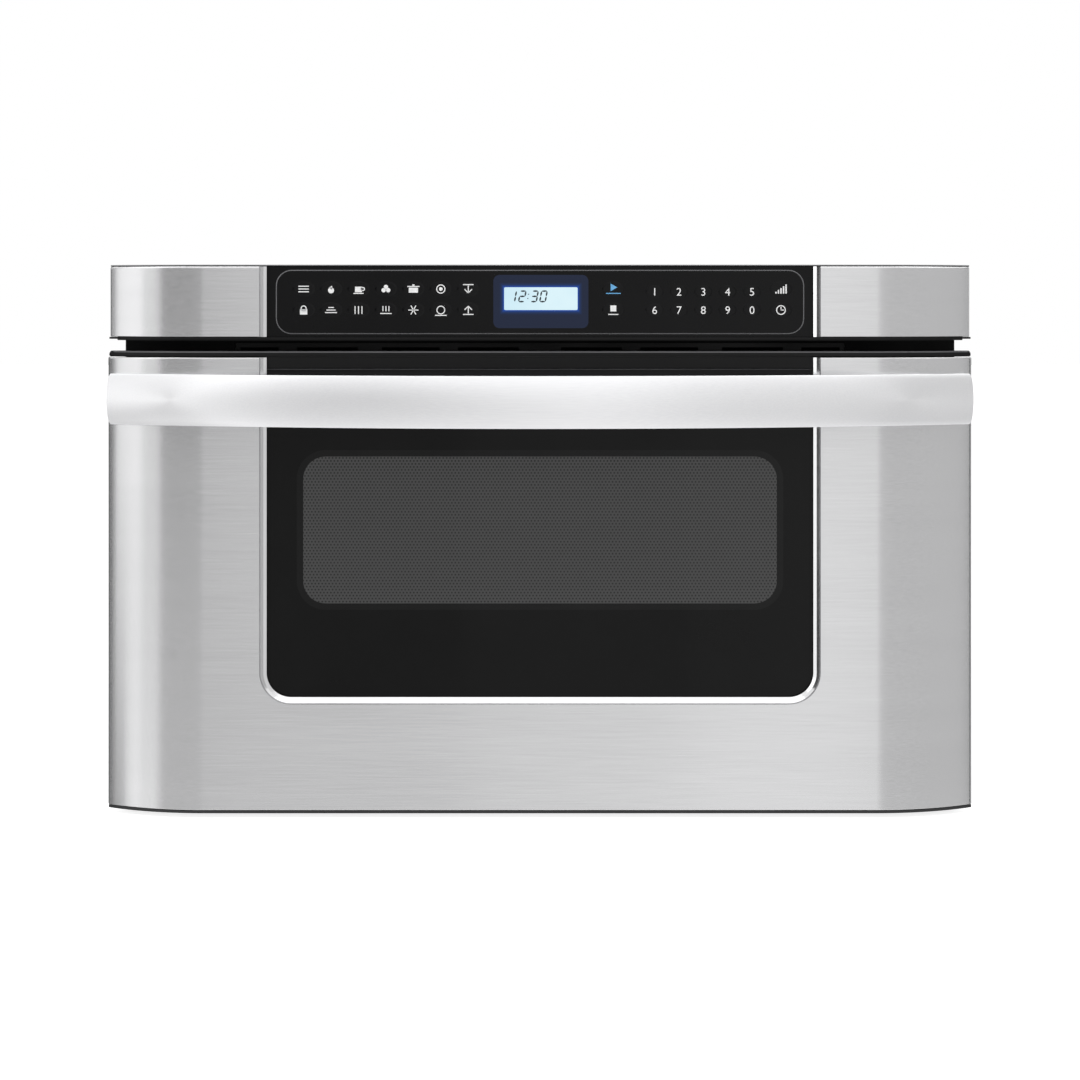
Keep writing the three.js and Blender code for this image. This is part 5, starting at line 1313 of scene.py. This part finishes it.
bm = bmesh.new()
rows = (["menu", "drop", "cup", "popped_corn", "pot", "warm_again", "open"],
    ["lock", "soften", "warm", "keep_warm", "thaw", "plate", "close"])
for z, names in zip(key_rows, rows):
    for x, name in zip(key_columns, names):
        draw_sign(bm, name, x, z)
draw_sign(bm, "stop", start_column, key_rows[1])
draw_sign(bm, "power", clock_column, key_rows[0])
draw_sign(bm, "clock", clock_column, key_rows[1])
for z, line in zip(digit_rows, ("12345", "67890")):
    for x, digit in zip(digit_columns, line):
        draw_digit(bm, digit, x, z)
white_faces = len(bm.faces)
draw_sign(bm, "start", start_column, key_rows[0])
bm.faces.ensure_lookup_table()
for face in bm.faces[white_faces:]:
    face.material_index = 1
turn_to_front(bm)
make_piece(bm, "key_signs", "chassis", [white_print, blue_print])

# %% [markdown]
# ## The clock in the display
# The clock is a liquid crystal with seven segments to a digit, slanted by ten degrees. Each
# segment is a six-sided outline stretched to a bar with pointed ends. The crystal that blocks
# the light looks like a thin blue-black ink.

# %% The clock in the display
lcd_ink = finish("liquid_crystal_ink", "#16242C", "#1D2E37", 0.4, 2, 0.002, 0.05)
digit_height = 7.3 * MM
digit_width = 3.8 * MM
digit_places = [("1", -18.9 * MM), ("2", -12.3 * MM), ("3", -3.8 * MM), ("0", 2.4 * MM)]
colon_place = -8.2 * MM
colon_dot = 0.35 * MM
slant = math.tan(math.radians(10))
segment_line = 1.1 * MM
segment_places = {
    "a": (0, 1, True), "g": (0, 0, True), "d": (0, -1, True), "f": (-1, 0.5, False),
    "b": (1, 0.5, False), "e": (-1, -0.5, False), "c": (1, -0.5, False),
}
lit_segments = {"1": "bc", "2": "abged", "3": "abgcd", "0": "abcdef"}
clock_z = display_middle.z + lit_rise.z + 1.6 * MM
clock_y = film_y - 0.03 * MM


def clock_segment(bm, x, z, length, level):
    verts = bmesh.ops.create_circle(bm, cap_ends=True, segments=6, radius=1)["verts"]
    bmesh.ops.scale(bm, vec=(length / 2, segment_line / math.sqrt(3), 1), verts=verts)
    place_flat(bm, verts, x, z, 0 if level else 90)


bm = bmesh.new()
for digit, middle in digit_places:
    for name in lit_segments[digit]:
        across, up, level = segment_places[name]
        clock_segment(bm, middle + across * digit_width / 2, clock_z + up * digit_height / 2,
            digit_width if level else digit_height / 2, level)
for up in (-0.2, 0.2):
    verts = bmesh.ops.create_grid(bm, x_segments=1, y_segments=1, size=colon_dot)["verts"]
    place_flat(bm, verts, colon_place, clock_z + up * digit_height)
for vert in bm.verts:
    vert.co.x += (vert.co.z - clock_z) * slant
    vert.co.y = clock_y
turn_to_front(bm)
make_piece(bm, "clock_digits", "chassis", [lcd_ink])

# %% [markdown]
# ## Screws
# The chassis is a box of thin sheet, so it is screwed together along its flanges. A screw is a
# disc with a cross cut out of its middle: the ring round the cross is filled, its outer edge is
# drawn out to a low dome, and the cross is sunk. It is shaped facing the front, and a matrix
# then turns it to its face of the box.

# %% Screws
wrap_low, wrap_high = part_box("outer_wrap")
back_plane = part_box("rear_panel")[1].y
to_back = Matrix.Rotation(math.pi, 4, "Z")
to_right = Matrix.Rotation(math.pi / 2, 4, "Z")
to_left = Matrix.Rotation(-math.pi / 2, 4, "Z")
screw_radius = 3.6 * MM
screw_height = 1.9 * MM
flange = 14 * MM


def cross_loop(bm, arm, line):
    corner = [(line, arm), (line, line), (arm, line)]
    quarter = Matrix.Rotation(-math.pi / 2, 2)
    turn = Matrix.Identity(2)
    verts = []
    for i in range(4):
        verts += [bm.verts.new((p.x, 0, p.y)) for p in (turn @ Vector(c) for c in corner)]
        turn = quarter @ turn
    return [bm.edges.new((verts[i], verts[(i + 1) % len(verts)])) for i in range(len(verts))]


def screw(bm, place, turned):
    known = set(bm.verts)
    circle = bmesh.ops.create_circle(bm, segments=24, radius=screw_radius * 0.62)["verts"]
    bmesh.ops.rotate(bm, cent=(0, 0, 0), matrix=stand_up, verts=circle)
    edge = list({e for v in circle for e in v.link_edges})
    cross = cross_loop(bm, screw_radius * 0.45, screw_radius * 0.1)
    bmesh.ops.triangle_fill(bm, edges=edge + cross, use_beauty=True, normal=(0, -1, 0))
    sunk = bmesh.ops.extrude_edge_only(bm, edges=cross)["geom"]
    bmesh.ops.translate(bm, vec=(0, 0.5 * screw_height, 0), verts=verts_in(sunk))
    bmesh.ops.contextual_create(bm, geom=edges_in(sunk))
    for depth, reach in ((0.3, 0.9), (0.62, 1.0), (1.0, 1.0)):
        drawn = bmesh.ops.extrude_edge_only(bm, edges=edge)["geom"]
        edge = edges_in(drawn)
        for vert in verts_in(drawn):
            flat = Vector((vert.co.x, 0, vert.co.z)).normalized() * screw_radius * reach
            vert.co = Vector((flat.x, depth * screw_height, flat.z))
    fresh = [v for v in bm.verts if v not in known]
    bmesh.ops.translate(bm, vec=(0, -screw_height, 0), verts=fresh)
    bmesh.ops.transform(bm, matrix=Matrix.Translation(place) @ turned, verts=fresh)


side_depth = wrap_high.y - wrap_low.y
bm = bmesh.new()
for z in (28 * MM, 120 * MM, 215 * MM, 345 * MM):
    for x in (-262 * MM, 262 * MM):
        screw(bm, (x, back_plane, z), to_back)
for x in (-160 * MM, 0, 160 * MM):
    screw(bm, (x, back_plane, 356 * MM), to_back)
    screw(bm, (x, back_plane, flange), to_back)
for z in (40 * MM, 190 * MM, 340 * MM):
    screw(bm, (wrap_high.x, wrap_low.y + flange, z), to_right)
    screw(bm, (wrap_low.x, wrap_low.y + flange, z), to_left)
for share in (0.25, 0.5, 0.75, 0.96):
    y = wrap_low.y + share * side_depth
    screw(bm, (wrap_high.x, y, 13 * MM), to_right)
    screw(bm, (wrap_low.x, y, 13 * MM), to_left)
bmesh.ops.recalc_face_normals(bm, faces=bm.faces[:])
make_piece(bm, "chassis_screws", "chassis", [screw_steel], smooth=40)

# %% [markdown]
# ## Pressed ribs
# Long ribs are pressed into the box's wide faces to stiffen the sheet. A rib starts as a circle
# whose halves are moved apart, and its outline is then drawn up and inwards twice. Like a
# screw, it is shaped facing the front and turned to its face. On the roof it is turned twice,
# so that it runs from front to back.

# %% Pressed ribs
to_top = Matrix.Rotation(-math.pi / 2, 4, "X") @ Matrix.Rotation(math.pi / 2, 4, "Y")
rib_width = 14 * MM
rib_height = 2.4 * MM
rib_length = 0.7 * side_depth


def rib(bm, place, turned, length):
    known = set(bm.verts)
    circle = bmesh.ops.create_circle(bm, segments=26, radius=rib_width / 2)["verts"]
    bmesh.ops.rotate(bm, cent=(0, 0, 0), matrix=stand_up, verts=circle)
    reach = (length - rib_width) / 2
    for vert in circle:
        vert.co.x += math.copysign(reach, vert.co.x)
    outline = list({e for v in circle for e in v.link_edges})
    for shrink, rise in ((0.76, 0.78), (0.74, 0.22)):
        drawn = bmesh.ops.extrude_edge_only(bm, edges=outline)["geom"]
        outline = edges_in(drawn)
        for vert in verts_in(drawn):
            end = math.copysign(reach, vert.co.x)
            vert.co = Vector((end + (vert.co.x - end) * shrink, vert.co.y - rise * rib_height,
                vert.co.z * shrink))
    bmesh.ops.contextual_create(bm, geom=outline)
    fresh = [v for v in bm.verts if v not in known]
    bmesh.ops.transform(bm, matrix=Matrix.Translation(place) @ turned, verts=fresh)


bm = bmesh.new()
middle_y = wrap_low.y + 0.5 * side_depth
for x in (-150 * MM, -50 * MM, 50 * MM, 150 * MM):
    rib(bm, (x, middle_y, wrap_high.z), to_top, rib_length)
for z in (250 * MM, 290 * MM):
    rib(bm, (wrap_high.x, middle_y, z), to_right, rib_length)
    rib(bm, (wrap_low.x, middle_y, z), to_left, rib_length)
for z in (60 * MM, 100 * MM, 140 * MM):
    rib(bm, (0, back_plane, z), to_back, 380 * MM)
bmesh.ops.recalc_face_normals(bm, faces=bm.faces[:])
make_piece(bm, "pressed_ribs", "chassis", [zinc_sheet], smooth=25)

# %% [markdown]
# ## Finishes for the rest of the construction
# Parts whose shape is already right keep the mesh that they came with and only get a better
# material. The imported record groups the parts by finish, so the table goes by those groups.

# %% Finishes for the rest of the construction
slot_finish = {
    "brushed_stainless": skin_steel, "handle_stainless": handle_steel_painted_pale, "bright_rim": rim_steel,
    "black_glass": front_black, "control_overlay": touch_black, "display_window": moulded_black,
    "window_mesh": screen_metal, "black_trim": moulded_black, "frame_black": powder_black,
    "galvanised_steel": zinc_sheet, "grey_enamel": grey_enamel, "floor_ceramic": ceramic_white,
    "motor_metal": motor_shell, "laminations": laminations, "windings_copper": copper_wire,
    "circuit_board": board_green, "pale_nylon": pale_nylon, "mica_sheet": mica_sheet,
    "fan_shroud": shroud_black, "duct_sheet": duct_sheet, "inlet_rubber": bush_rubber,
}
for subpart in frame["record"]["subparts"]:
    for slot in frame["nodes"][subpart["node"]].material_slots:
        slot.material = slot_finish[subpart["material_slot"]]
print(len(frame["nodes"]), "construction parts dressed")
